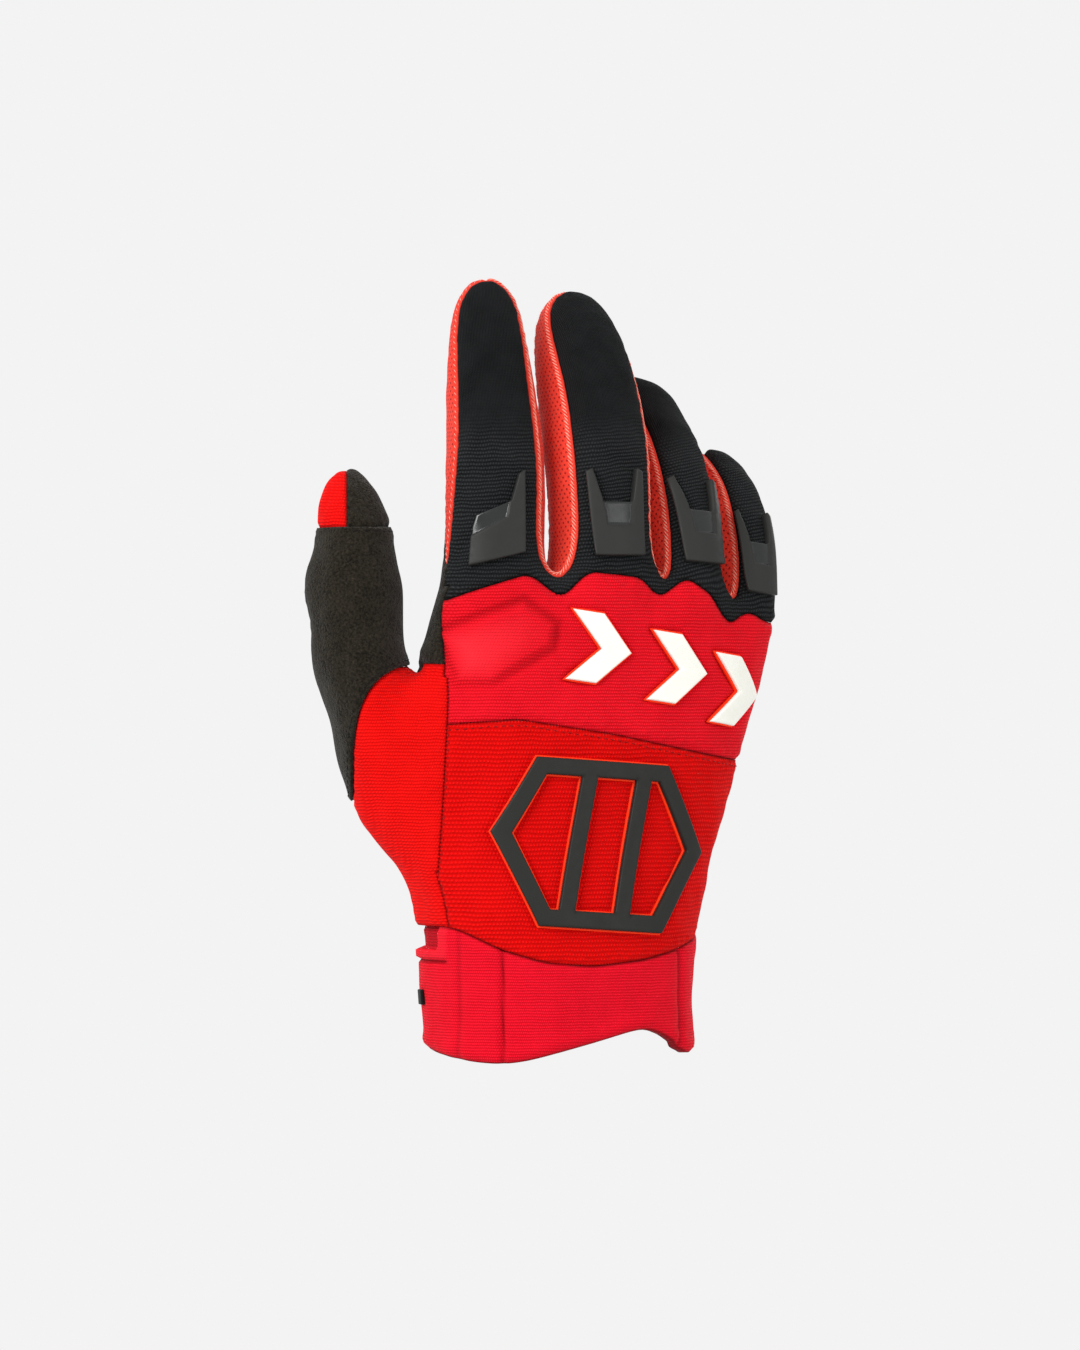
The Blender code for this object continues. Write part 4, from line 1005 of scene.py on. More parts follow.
def cuff_relief(points, normals):
    """Sewn grooves, the bound slit and the lower edge: height, and painted shade in the grooves, the slit and
    under its binding, with a painted highlight (negative) on the binding.
    """
    p, z = points[:, 0] / MM, points[:, 2] / MM
    near = ease(-normals[:, 1] * 2.0 + 0.6)
    below = ease((38.5 - z) / 3.0)
    height = np.zeros(len(points))
    crease = np.zeros(len(points))
    for across, depth, half in CUFF_GROOVES:
        line = depth * near * (below if across < -20.0 else 1.0)
        height -= line * MM * hump(p - across, half)
        # Painted shade down the middle of each sewn groove
        crease += 0.5 * line * hump(p - across, 0.45 * half)
    for across in CUFF_FOLDS:
        height -= 0.7 * MM * hump(p - across, 1.2) * ease(normals[:, 1] * 2.0 - 0.4)
    side = ease(-normals[:, 1] * 2.0 + 1.2)
    in_slit = ease((slit_across - p) / 0.8) * ease((z - slit_foot) / 0.8)
    bound = ease((slit_across + binding_width - p) / 0.7 + 0.5)
    bound = bound * ease((z - slit_foot + binding_width) / 0.7 + 0.5)
    height += side * (binding_height * (bound - in_slit) - slit_depth * in_slit)
    gap = hump(z - slit_foot + binding_width + 0.5, 0.6) * ease((slit_across + binding_width - p) / 1.0)
    height -= side * 0.9 * MM * gap
    height += 0.3 * MM * hump(z - 10.0, 7.0) * waves(points, 24 * MM, 12)
    # Painted shade in the gap under the binding and inside the slit, darkest at the slit's edge
    crease += side * (0.8 * gap + 0.45 * in_slit + 0.6 * in_slit * hump(p - slit_across + 0.6, 0.8))
    # Painted highlight on the raised binding
    crease -= side * 0.3 * (bound - in_slit)
    return height, np.clip(crease, -1.0, 1.0)


def sunk_around(points, skin, piece):
    """How far the cloth sinks round a moulded piece that is pressed into it."""
    middle, side, _ = seat(skin, piece["spot"])
    flat = np.stack([(points[:, :3] - middle) @ side, points[:, 2] - middle[2]], axis=1)
    near = np.linalg.norm(flat, axis=1) < 0.6 * hand_breadth
    outside = np.full(len(points), 1.0)
    outside[near] = -loop_distance(flat[near], piece["loops"])
    return piece["sink"] * hump(np.maximum(outside - piece["margin"], 0.0), 0.9 * MM)


def seat(skin, spot):
    """Where a flat piece sits: the place on the skin, its direction across and its direction out."""
    middle, facing = skin.at((spot[0], -hand_breadth, spot[1]), (0.0, 1.0, 0.0))
    roll = math.atan2(facing[0], -facing[1])
    side = np.array((math.cos(roll), math.sin(roll), 0.0))
    return middle, side, np.array((math.sin(roll), -math.cos(roll), 0.0))


def refined(points, triangles, zones):
    """Splits each triangle into four."""
    pairs, index, _ = edges_of(triangles)
    middles = (points[pairs[:, 0]] + points[pairs[:, 1]]) / 2.0
    a, b, c = triangles.T
    ab, bc, ca = index.T + len(points)
    quarters = [(a, ab, ca), (ab, b, bc), (ca, bc, c), (ab, bc, ca)]
    finer = np.concatenate([np.stack(corners, axis=1) for corners in quarters])
    return np.concatenate([points, middles]), finer, np.tile(zones, 4)


def nearest_distance(points, targets):
    """How far each point lies from the nearest target."""
    tree = KDTree(len(targets))
    for k, target in enumerate(targets):
        tree.insert(target, k)
    tree.balance()
    return np.array([tree.find(point)[2] for point in points.tolist()])


def weave(points, zone, depthwise):
    """Coordinates along a fabric's rows and up its wales, in metres. They run on from hand to finger."""
    x, y, z = points.T
    if zone not in FINGERS:
        return x * math.cos(view_turn) + y * math.sin(view_turn), z
    roll = math.radians(FINGERS[zone][0])
    rows, up, across, away = beside_finger(points, zone)
    steps = np.linalg.norm(np.diff(rows * (glove_height, hand_breadth, hand_breadth), axis=0), axis=1)
    along = np.concatenate([[0.0], np.cumsum(steps)])
    lean = (rows[-2, 1] - rows[1, 1]) * hand_breadth / (up[-2] - up[1])
    height = up[0] + np.interp(z, up, along) + np.minimum(z - up[0], 0.0)
    height = height + across * lean * ease((z - up[0]) / (12 * MM))
    if depthwise:
        return across * math.sin(roll) - away * math.cos(roll), height
    return across * math.cos(roll) + away * math.sin(roll), height


class Panel:
    """One piece of cloth: its part of the shell, with distances to its own edges."""

    def __init__(self, shell, names, normals, name, finer):
        chosen = names == name
        self.used, triangles = np.unique(shell.triangles[chosen], return_inverse=True)
        triangles = triangles.reshape(-1, 3)
        columns = np.concatenate([shell.points[self.used, :3], normals[self.used]], axis=1)
        zones = shell.zones[chosen]
        rim, _ = rim_steps(columns[:, :3], triangles, columns[:, 3:])
        rim_points = columns[np.unique(np.array(rim)), :3]
        self.directed = {(int(self.used[a]), int(self.used[b])) for a, b in rim}
        for _ in range(finer):
            columns, triangles, zones = refined(columns, triangles, zones)
        self.points = columns[:, :3]
        self.normals = columns[:, 3:] / np.linalg.norm(columns[:, 3:], axis=1)[:, None]
        self.triangles = triangles
        self.zones = zones
        self.seam_distance = nearest_distance(self.points, rim_points.tolist())
        self.tree = None

    def build(self, height, wall, gap):
        """The closed wall: outer points at height along the normals, and inner ones wall below them."""
        rim, steps = rim_steps(self.points, self.triangles, self.normals)
        points = self.points.copy()
        for index, step in steps.items():
            points[index] += step * gap
        outer = points + self.normals * height[:, None]
        inner = points + self.normals * (height - wall)[:, None]
        count = len(points)
        sides = [three for a, b in rim for three in ((b, a, a + count), (b, a + count, b + count))]
        faces = np.concatenate([self.triangles, self.triangles[:, ::-1] + count, np.array(sides)])
        self.tree = BVHTree.FromPolygons(outer.tolist(), self.triangles.tolist())
        return np.concatenate([outer, inner]), faces

    def weave_loops(self, faces, depthwise):
        """Weave coordinates at each corner of each face."""
        doubled = np.tile(self.points, (2, 1))
        zone_of = np.concatenate([np.tile(self.zones, 2), np.zeros(len(faces) - 2 * len(self.zones), int)])
        result = np.zeros((len(faces), 3, 2))
        for zone in np.unique(zone_of):
            both = np.stack(weave(doubled, zone, depthwise), axis=1)
            result[zone_of == zone] = both[faces[zone_of == zone]]
        return result.reshape(-1, 2)


def add_object(name, data):
    """A new object in the scene."""
    item = bpy.data.objects.new(name, data)
    bpy.context.collection.objects.link(item)
    return item


def add_piece(name, points, faces, materials, nodes=(), face_materials=None):
    """One object of the looks, which rides on the body and may stand for CAD nodes."""
    mesh = bpy.data.meshes.new(name)
    mesh.from_pydata(turned(points).tolist(), [], np.asarray(faces).tolist())
    for material in materials:
        mesh.materials.append(material)
    if face_materials is not None:
        mesh.polygons.foreach_set("material_index", face_materials.astype(np.int32))
    mesh.shade_smooth()
    item = add_object(name, mesh)
    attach(item, "root")
    if nodes:
        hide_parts(*nodes)
    return item


def add_maps(mesh, weave_map, **values):
    """The weave as a UV map, and named numbers at each point."""
    mesh.uv_layers.new(name="Weave").data.foreach_set("uv", weave_map.astype(np.float32).ravel())
    for name, numbers in values.items():
        attribute = mesh.attributes.new(name, "FLOAT", "POINT")
        attribute.data.foreach_set("value", np.tile(numbers, 2).astype(np.float32))


def seam_lines(one, other):
    """The seams where two panels meet, each as ordered places on the shell. Very short ones are left out."""
    follow = {a: b for a, b in one.directed if (b, a) in other.directed}
    starts = sorted(set(follow) - set(follow.values())) or sorted(follow)[:1]
    place_of = dict(zip(one.used.tolist(), range(len(one.used))))
    lines = []
    for start in starts:
        line, here = [start], start
        while here in follow and len(line) <= len(follow):
            here = follow[here]
            line.append(here)
        if len(line) > 4:
            lines.append(one.points[[place_of[k] for k in line]])
    return lines


def spaced(line, step):
    """Places along a line, each step on from the last, with the line's direction there."""
    lengths = np.concatenate([[0.0], np.cumsum(np.linalg.norm(np.diff(line, axis=0), axis=1))])
    stops = np.arange(step / 2, lengths[-1], step)
    spots, ahead, behind = (
        np.stack([np.interp(stops + shift, lengths, line[:, k]) for k in range(3)], axis=1)
        for shift in (0.0, step / 2, -step / 2)
    )
    ways = ahead - behind
    return spots, ways / np.maximum(np.linalg.norm(ways, axis=1), 1e-9)[:, None]


class Threads:
    """Sewn threads, gathered into one object. Each is a bowed tube of five rings of five points."""

    count = 5

    def __init__(self):
        self.points = []
        self.faces = []

    def add(self, start, middle, end, out, radius):
        """One thread that rises from start over middle and goes in at end."""
        count = self.count
        across = unit(np.cross(unit(end - start), out))
        first = len(self.points)
        for ring in range(count):
            t = ring / (count - 1)
            at = start * (1 - t) ** 2 + (2 * middle - (start + end) / 2) * 2 * t * (1 - t) + end * t**2
            size = radius * (0.55 + 0.45 * math.sin(math.pi * t))
            for side in range(count):
                angle = 2.0 * math.pi * side / count
                self.points.append(at + size * (math.cos(angle) * across + math.sin(angle) * out))
        last = first + (count - 1) * count
        for low in range(first, last, count):
            for side in range(count):
                one, two = low + side, low + (side + 1) % count
                self.faces += [(one, two, two + count), (one, two + count, one + count)]
        for side in range(1, count - 1):
            self.faces += [(first, first + side + 1, first + side), (last, last + side, last + side + 1)]

    def row(self, panel, line, slant, pitch, length, inset_by, radius):
        """A row of threads on a panel beside a seam. slant is in degrees from the seam's direction."""
        turn = math.radians(slant)
        for spot, way in zip(*spaced(line, pitch)):
            out = np.array(panel.tree.find_nearest(Vector(spot))[1])
            inward = unit(np.cross(out, way))
            direction = way * math.cos(turn) + inward * math.sin(turn)
            ends = []
            for share in (-0.5, 0.0, 0.5):
                aim = spot + inward * inset_by + direction * (length * share)
                at, normal, _, _ = panel.tree.find_nearest(Vector(aim))
                rise = radius * (0.7 if share == 0.0 else -0.5)
                ends.append(np.array(at) + np.array(normal) * rise)
            self.add(*ends, out, radius)


def moulded(skin, loops, spot, sunk, top, step, ring_steps=(0.15, 0.4, 0.8), creases=()):
    """A moulded piece on the skin. top gives its height at flat spots, and its foot lies sunk below the skin.

    creases are outlines that the faces follow where they lie inside the piece.
    """
    middle, side, out = seat(skin, spot)
    fine = [line_points(loop, step) for loop in loops]
    spots, edges = [], []
    for loop in fine:
        first, count = len(spots), len(loop)
        edges += [(first + k, first + (k + 1) % count) for k in range(count)]
        spots += loop
    lines = list(edges)
    for loop in creases:
        kept = np.nonzero(loop_distance(np.array(loop), loops) > 0.35 * MM)[0].tolist()
        number = {k: len(spots) + n for n, k in enumerate(kept)}
        spots += [tuple(loop[k]) for k in kept]
        ahead = [(k, (k + 1) % len(loop)) for k in kept]
        lines += [(number[k], number[other]) for k, other in ahead if other in number]
    for ring in ring_steps:
        for loop in fine:
            near = np.array(inset(loop, ring * MM))
            inside = loop_distance(near, loops)
            spots += [tuple(near[k]) for k in np.nonzero(np.abs(inside - ring * MM) < 0.08 * MM)[0]]
    low, high = np.min(fine[0], axis=0), np.max(fine[0], axis=0)
    xs, ys = np.meshgrid(*(np.arange(low[k], high[k], step) for k in (0, 1)))
    grid = np.stack([xs.ravel(), ys.ravel()], axis=1)
    grid = grid[loop_distance(grid, loops) > ring_steps[-1] * MM + step * 0.4]
    for loop in creases:
        grid = grid[np.abs(loop_distance(grid, [loop])) > 0.3 * step]
    spots += [tuple(corner) for corner in grid]
    result = delaunay_2d_cdt([Vector(corner) for corner in spots], lines, [], 0, 1e-8)
    flat = np.array([tuple(corner) for corner in result[0]])
    faces = np.array(result[2])
    faces = faces[loop_distance(flat[faces].mean(axis=1), loops) > 0]
    one, two = flat[faces[:, 1]] - flat[faces[:, 0]], flat[faces[:, 2]] - flat[faces[:, 0]]
    faces = faces[np.abs(one[:, 0] * two[:, 1] - one[:, 1] * two[:, 0]) > 1e-11]
    lower, upper = [], []
    for corner, height in zip(flat, top(flat, loop_distance(flat, loops))):
        start = middle + side * corner[0] + np.array((0.0, 0.0, corner[1])) + out * hand_breadth
        at, normal = skin.at(start, -out)
        lower.append(at - normal * sunk)
        upper.append(at + normal * height)
    count = len(flat)
    walls = [three for a, b in edges for three in ((a, b, b + count), (a, b + count, a + count))]
    return np.array(lower + upper), np.concatenate([faces[:, ::-1], faces + count, np.array(walls)]), flat


def rounded(inside, thickness, bevel):
    """The height of a slab with a round shoulder."""
    share = np.clip(inside / bevel, 0.0, 1.0)
    return thickness - bevel * (1.0 - np.sqrt(1.0 - (1.0 - share) ** 2))


class Look:
    """Writes a material's nodes. Most calls add one node and give its output."""

    def __init__(self, name, colour, roughness, **sockets):
        self.material = bpy.data.materials.new(name)
        self.material.use_nodes = True
        self.material.diffuse_color = (*colour, 1.0)
        self.tree = self.material.node_tree
        self.shader = self.tree.nodes["Principled BSDF"]
        self.set(Base_Color=colour, Roughness=roughness, **sockets)

    def set(self, **values):
        """Links outputs to the shader's sockets, or sets them."""
        for name, value in values.items():
            self.link(value, self.shader.inputs[name.replace("_", " ")])

    def link(self, value, socket):
        if isinstance(value, bpy.types.NodeSocket):
            self.tree.links.new(value, socket)
        else:
            socket.default_value = (*value, 1.0) if isinstance(value, tuple) else value

    def node(self, kind, values=(), **settings):
        """A node with its settings, and its inputs linked or set."""
        node = self.tree.nodes.new("ShaderNode" + kind)
        for name, value in settings.items():
            setattr(node, name, value)
        for key, value in dict(values).items():
            self.link(value, node.inputs[key])
        return node

    def math(self, operation, *values):
        return self.node("Math", enumerate(values), operation=operation).outputs[0]

    def times(self, one, two):
        return self.math("MULTIPLY", one, two)

    def plus(self, one, two):
        return self.math("ADD", one, two)

    def less(self, one, two):
        return self.math("SUBTRACT", one, two)

    def weave(self):
        """The weave coordinates, across and up, in metres."""
        parts = self.node("SeparateXYZ", {0: self.node("UVMap", uv_map="Weave").outputs[0]})
        return parts.outputs[0], parts.outputs[1]

    def noise(self, size, detail=2.0, roughness=0.5):
        """Noise from 0 to 1 whose blotches are about size metres wide."""
        place = self.node("TexCoord").outputs["Object"]
        values = {"Vector": place, "Scale": 1.0 / size, "Detail": detail, "Roughness": roughness}
        return self.node("TexNoise", values).outputs[0]

    def wave(self, turns):
        """A wave from 0 to 1 over each turn."""
        return self.math("MULTIPLY_ADD", self.math("SINE", self.times(turns, 2.0 * math.pi)), 0.5, 0.5)

    def sine(self, value, pitch, shift=0.0):
        """A wave from 0 to 1 with a pitch in metres. shift is in turns."""
        return self.wave(self.plus(self.math("DIVIDE", value, pitch), shift))

    def span(self, value, low, high, to_low=0.0, to_high=1.0):
        values = enumerate((value, low, high, to_low, to_high))
        return self.node("MapRange", values, interpolation_type="SMOOTHSTEP").outputs[0]

    def mix(self, share, one, two):
        return self.node("Mix", {0: share, 6: one, 7: two}, data_type="RGBA").outputs[2]

    def bump(self, height, distance, strength=1.0):
        node = self.node("Bump", {"Height": height, "Distance": distance, "Strength": strength})
        last = self.shader.inputs["Normal"]
        if last.is_linked:
            self.link(last.links[0].from_socket, node.inputs["Normal"])
        self.link(node.outputs[0], last)

    def near_seam(self, width):
        """1 at a seam, 0 further than width from it."""
        return self.span(self.node("Attribute", attribute_name="seam").outputs["Fac"], 0.0, width, 1.0, 0.0)

    def shaded(self, body, shade_colour, pale):
        """Cloth with painted shade in seams and creases, and a painted highlight where it bulges over a pad
        towards the light.
        """
        crease = self.node("Attribute", attribute_name="crease").outputs["Fac"]
        shade_share = self.math("MAXIMUM", crease, 0.0)
        # Painted shade along the seams
        seam = self.times(self.near_seam(0.9 * MM), 0.75)
        body = self.mix(self.math("MAXIMUM", shade_share, seam), body, shade_colour)
        # Painted highlight where the value is negative, mixed towards pale
        highlight_share = self.math("MAXIMUM", self.times(crease, -1.0), 0.0)
        return self.mix(self.times(highlight_share, 0.8), body, pale)


def knit_look(name, dark, light, row, wale, waver, roughness, depth, rib_top=None):
    """A knit with crosswise rows, sizes in millimetres. Above rib_top they give way to a smooth face."""
    look = Look(name, light, roughness, Sheen_Weight=0.02, Sheen_Roughness=0.5, Specular_IOR_Level=0.03)
    u, v = look.weave()
    drift = look.times(look.noise(6.0 * (row * MM), 2.0), waver)
    rows = look.plus(look.math("DIVIDE", v, row * MM), drift)
    half = look.times(look.math("FLOOR", look.plus(rows, 0.25)), 0.5)
    loops = look.sine(u, wale * MM, half)
    stitch = look.times(look.wave(rows), look.math("MULTIPLY_ADD", loops, 0.75, 0.25))
    if rib_top is not None:
        fine = look.times(look.sine(u, 0.45 * MM), look.sine(v, 0.5 * MM, look.sine(u, 0.9 * MM)))
        rise = look.plus(v, look.times(look.noise(14 * MM), 8 * MM))
        share = look.span(rise, rib_top - 7 * MM, rib_top + 12 * MM)
        plain = look.times(look.times(fine, 0.75), share)
        stitch = look.plus(plain, look.times(stitch, look.less(1.0, share)))
    fuzz = look.noise(0.35 * MM, 3.0, 0.7)
    cloud = look.noise(9 * MM, 3.0, 0.6)
    tone = look.math("MULTIPLY_ADD", stitch, 0.95, look.times(fuzz, 0.40))
    tone = look.plus(tone, look.math("MULTIPLY_ADD", cloud, 0.34, -0.21))
    # Colours of the painted shade in seams and creases, and of the painted highlight on raised cloth
    shade_colour = tuple(0.22 * c for c in dark)
    pale = tuple(min(1.0, c * 1.1 + 0.022) for c in light)
    look.set(
        Base_Color=look.shaded(look.mix(tone, dark, light), shade_colour, pale),
        Roughness=look.span(fuzz, 0.3, 0.7, roughness - 0.08, min(1.0, roughness + 0.1)),
    )
    look.bump(stitch, depth * MM, 0.9)
    look.bump(fuzz, 0.12 * MM, 0.5)
    return look.material


def mesh_look(name, dark, light, hole):
    """A stretch mesh with small holes in staggered rows."""
    look = Look(name, light, 0.75, Sheen_Weight=0.05, Sheen_Roughness=0.5, Specular_IOR_Level=0.10)
    u, v = look.weave()
    pitch_u, pitch_v = 2.0 * MM, 1.25 * MM
    rows = look.math("DIVIDE", v, pitch_v)
    shift = look.times(look.math("FLOOR", rows), 0.5)
    across = look.math("FRACT", look.plus(look.math("DIVIDE", u, pitch_u), shift))
    dx = look.times(look.less(across, 0.5), pitch_u)
    dy = look.times(look.less(look.math("FRACT", rows), 0.5), pitch_v)
    away = look.math("SQRT", look.plus(look.math("POWER", dx, 2.0), look.math("POWER", dy, 2.0)))
    holes = look.span(away, 0.20 * MM, 0.42 * MM, 1.0, 0.0)
    holes = look.times(holes, look.less(1.0, look.near_seam(2.6 * MM)))
    fuzz = look.noise(0.4 * MM, 3.0, 0.7)
    body = look.mix(look.math("MULTIPLY_ADD", fuzz, 0.8, 0.1), dark, light)
    look.set(Base_Color=look.mix(look.times(holes, 0.85), body, hole))
    look.bump(look.less(1.0, holes), 0.35 * MM, 0.9)
    look.bump(fuzz, 0.15 * MM, 0.6)
    return look.material


def suede_look(name, dark, light):
    """Napped suede, blotched where the nap lies one way or the other."""
    look = Look(name, dark, 0.95, Sheen_Weight=0.12, Sheen_Roughness=0.4, Specular_IOR_Level=0.06)
    nap = look.span(look.noise(0.75 * MM, 3.0, 0.7), 0.30, 0.70)
    patch = look.noise(6 * MM, 4.0, 0.65)
    speck = look.span(look.noise(0.9 * MM, 1.0), 0.68, 0.76)
    tone = look.plus(look.times(nap, 0.62), look.math("MULTIPLY_ADD", patch, 0.7, -0.22))
    pale = tuple(2.2 * c for c in light)
    look.set(
        Base_Color=look.mix(look.times(speck, 0.25), look.mix(tone, dark, light), pale),
        Roughness=look.span(nap, 0.2, 0.8, 0.85, 1.0),
    )
    look.bump(nap, 0.30 * MM, 0.8)
    look.bump(patch, 0.5 * MM, 0.35)
    return look.material


def rubber_look(name, colour, roughness, grain, gloss):
    """Moulded rubber with slight marks of handling and a faint grain, in millimetres."""
    look = Look(name, colour, roughness, Specular_IOR_Level=gloss)
    rub = look.noise(5 * MM, 4.0, 0.7)
    lighter = tuple(min(1.0, c * 1.35 + 0.004) for c in colour)
    look.set(
        Base_Color=look.mix(look.times(rub, 0.6), colour, lighter),
        Roughness=look.span(rub, 0.3, 0.75, roughness - 0.08, roughness + 0.12),
    )
    if grain:
        look.bump(look.noise(0.45 * MM, 2.0, 0.6), grain * MM, 0.6)
    return look.material


def thread_look(name, dark, light):
    """Twisted sewing thread."""
    look = Look(name, light, 0.6, Sheen_Weight=0.04, Specular_IOR_Level=0.12)
    twist = look.noise(0.22 * MM, 2.0)
    look.set(Base_Color=look.mix(twist, dark, light))
    look.bump(twist, 0.06 * MM, 0.6)
    return look.material


# Colours, taken as linear light, from dark to light. Knits have their rows and wales, how much the rows
# waver, the roughness and the depth of the rows, and where a smooth face begins. Sizes are in millimetres.
KNITS = {
    "black_knit": ((0.0008, 0.0010, 0.0012), (0.036, 0.038, 0.040), 1.15, 0.80, 1.5, 0.85, 0.80, 0.187),
    "scarlet_knit": ((0.40, 0.0005, 0.0004), (0.88, 0.005, 0.004), 1.30, 0.95, 0.8, 0.8, 0.45),
    "gusset_knit": ((0.46, 0.0008, 0.0008), (1.0, 0.008, 0.006), 0.95, 0.70, 1.0, 0.8, 0.32),
    "crimson_knit": ((0.42, 0.0010, 0.005), (0.98, 0.011, 0.025), 0.95, 0.75, 0.6, 0.7, 0.30),
    "cuff_jersey": ((0.42, 0.0010, 0.007), (0.98, 0.009, 0.029), 0.85, 0.62, 0.6, 0.7, 0.24),
}
MESHES = {"red_mesh": ((0.52, 0.012, 0.006), (0.92, 0.075, 0.044), (0.30, 0.004, 0.002))}
SUEDES = {"black_suede": ((0.0035, 0.0030, 0.0018), (0.035, 0.029, 0.020))}
# Colour, roughness, grain and gloss
RUBBERS = {
    "guard_rubber": ((0.019, 0.0195, 0.018), 0.50, 0.05, 0.20),
    "guard_gloss": ((0.007, 0.008, 0.008), 0.16, 0.0, 0.45),
    "white_rubber": ((0.76, 0.76, 0.69), 0.50, 0.08, 0.25),
    "badge_rubber": ((0.013, 0.014, 0.012), 0.52, 0.05, 0.20),
    "badge_edge": ((0.95, 0.035, 0.005), 0.45, 0.0, 0.10),
}
THREAD_COLOURS = {
    "black_thread": ((0.001, 0.001, 0.001), (0.007, 0.006, 0.005)),
    "dark_red_thread": ((0.16, 0.0006, 0.0005), (0.34, 0.002, 0.0015)),
    "pink_thread": ((0.80, 0.16, 0.10), (0.98, 0.62, 0.50)),
    "orange_thread": ((0.78, 0.03, 0.015), (0.95, 0.17, 0.10)),
}
looks = {}
for make_look, table in (
    (knit_look, KNITS), (mesh_look, MESHES), (suede_look, SUEDES),
    (rubber_look, RUBBERS), (thread_look, THREAD_COLOURS),
):
    for look_name, values in table.items():
        looks[look_name] = make_look("look_" + look_name, *values)

# The shell, as fine as the looks need
points, quads, zones = build_cage()
for _ in range(scene_level):
    points, quads, zones = smooth_once(points, quads, zones)
shell = Shell(points, *to_triangles(points, quads, zones))
cut_seams(shell)
names = name_panels(shell)
skin = Skin(shell)

# Flat pieces on the skin: outlines, the place, how far the cloth sinks round them and over what margin
chevron = scaled(CHEVRON, motif_width, motif_height, bar_lean)
bars = {}
for bar_name, spot in BARS.items():
    bars[bar_name] = {"loops": [chevron], "spot": across_up(*spot), "sink": 0.8 * MM, "margin": 0.5 * MM}
badge_outline = [scaled(loop, 1.0, 1.0, badge_lean) for loop in badge_loops()]
badge = {"loops": badge_outline, "spot": across_up(*badge_place), "sink": 0.45 * MM, "margin": 0.6 * MM}

# Each panel: its look and wall, how many times it is refined, how deep its edges roll in and over what
# width, how far it stands proud, and the flat cloth that it was cut from: width, length and area
CLOTH = {
    "finger_backs": ("black_knit", knit_wall, 0, 0.85, 1.1, 0.0, (0.125, 0.135, 0.0091)),
    "fourchette_index_middle": ("red_mesh", mesh_wall, 0, 0.55, 0.9, 0.0, (0.026, 0.200, 0.0031)),
    "fourchette_middle_ring": ("red_mesh", mesh_wall, 0, 0.55, 0.9, 0.0, (0.026, 0.180, 0.0028)),
    "fourchette_ring_little": ("red_mesh", mesh_wall, 0, 0.55, 0.9, 0.0, (0.024, 0.140, 0.0021)),
    "side_strip_index": ("red_mesh", mesh_wall, 0, 0.55, 0.9, 0.0, (0.018, 0.090, 0.0010)),
    "side_strip_little": ("red_mesh", mesh_wall, 0, 0.55, 0.9, 0.0, (0.014, 0.055, 0.0006)),
    "palm": ("black_suede", suede_wall, 0, 0.60, 1.1, 0.0, (0.150, 0.210, 0.0212)),
    "knuckle_panel": ("crimson_knit", knit_wall, 1, 0.95, 1.3, 0.0, (0.115, 0.052, 0.0052)),
    "hand_back": ("scarlet_knit", knit_wall, 1, 0.75, 1.1, 0.0, (0.105, 0.072, 0.0066)),
    "thumb_gusset": ("gusset_knit", knit_wall, 1, 0.75, 1.1, 0.0, (0.055, 0.090, 0.0026)),
    "thumb_back": ("gusset_knit", knit_wall, 1, 0.60, 1.0, 0.0, (0.030, 0.060, 0.00108)),
    "thumb_front": ("black_suede", suede_wall, 1, 0.50, 1.0, 0.0, (0.040, 0.026, 0.00055)),
    "thumb_wrap": ("black_suede", suede_wall, 0, 0.30, 0.5, 0.6, (0.090, 0.085, 0.0045)),
    "cuff": ("cuff_jersey", neoprene_wall, 0, 0.75, 1.1, 0.0, (0.230, 0.052, 0.0080)),
}
# How far each panel's rim keeps off its seam, the height up to which the cuff's rim is its lower edge, as
# a share of glove_height, and the cuff's radius as a share of wrist_breadth
panel_gap = 0.05 * MM
cuff_rim_top = 0.075
cuff_radius = 0.44
# The forms that some panels have, and the pieces that are pressed into them
RELIEFS = {"cuff": cuff_relief, "knuckle_panel": knuckle_relief, "palm": palm_relief}
PRESSED_IN = {"knuckle_panel": list(bars.values()), "hand_back": [badge]}

panels = {name: Panel(shell, names, skin.normals, name, row[2]) for name, row in CLOTH.items()}
for cloth_name, (look_name, wall, _, roll, roll_width, proud, flat) in CLOTH.items():
    panel = panels[cloth_name]
    edge = panel.seam_distance
    height = proud * MM + common_relief(panel.points, edge)
    # Painted shade (positive) and painted highlight (negative), which only some reliefs give
    crease = np.zeros(len(height))
    rolled = roll * MM * hump(edge, roll_width * MM)
    if cloth_name == "cuff":
        rim_low = panel.points[:, 2] < cuff_rim_top * glove_height
        height -= np.where(rim_low, 0.9 * MM * hump(edge, 0.7 * MM), rolled)
        height += np.where(rim_low, 0.5 * MM * hump(edge - 2.6 * MM, 1.6 * MM), 0.0)
    else:
        height -= rolled
    if cloth_name in RELIEFS:
        relief, crease = RELIEFS[cloth_name](panel.points, panel.normals)
        height += relief
    for piece in PRESSED_IN.get(cloth_name, ()):
        height -= sunk_around(panel.points, skin, piece)
    solid_points, faces = panel.build(height, wall, panel_gap)
    weave_map = panel.weave_loops(faces, look_name == "red_mesh")
    if cloth_name == "cuff":
        round_it = np.arctan2(solid_points[:, 1], solid_points[:, 0]) * wrist_breadth * cuff_radius
        weave_map[:, 0] = round_it[faces.ravel()]
    slot = "scarlet_knit" if look_name == "gusset_knit" else look_name
    item = add_piece(cloth_name + "_cloth", solid_points, faces, [looks[look_name]], [cloth_name])
    add_maps(item.data, weave_map, seam=edge, crease=crease)

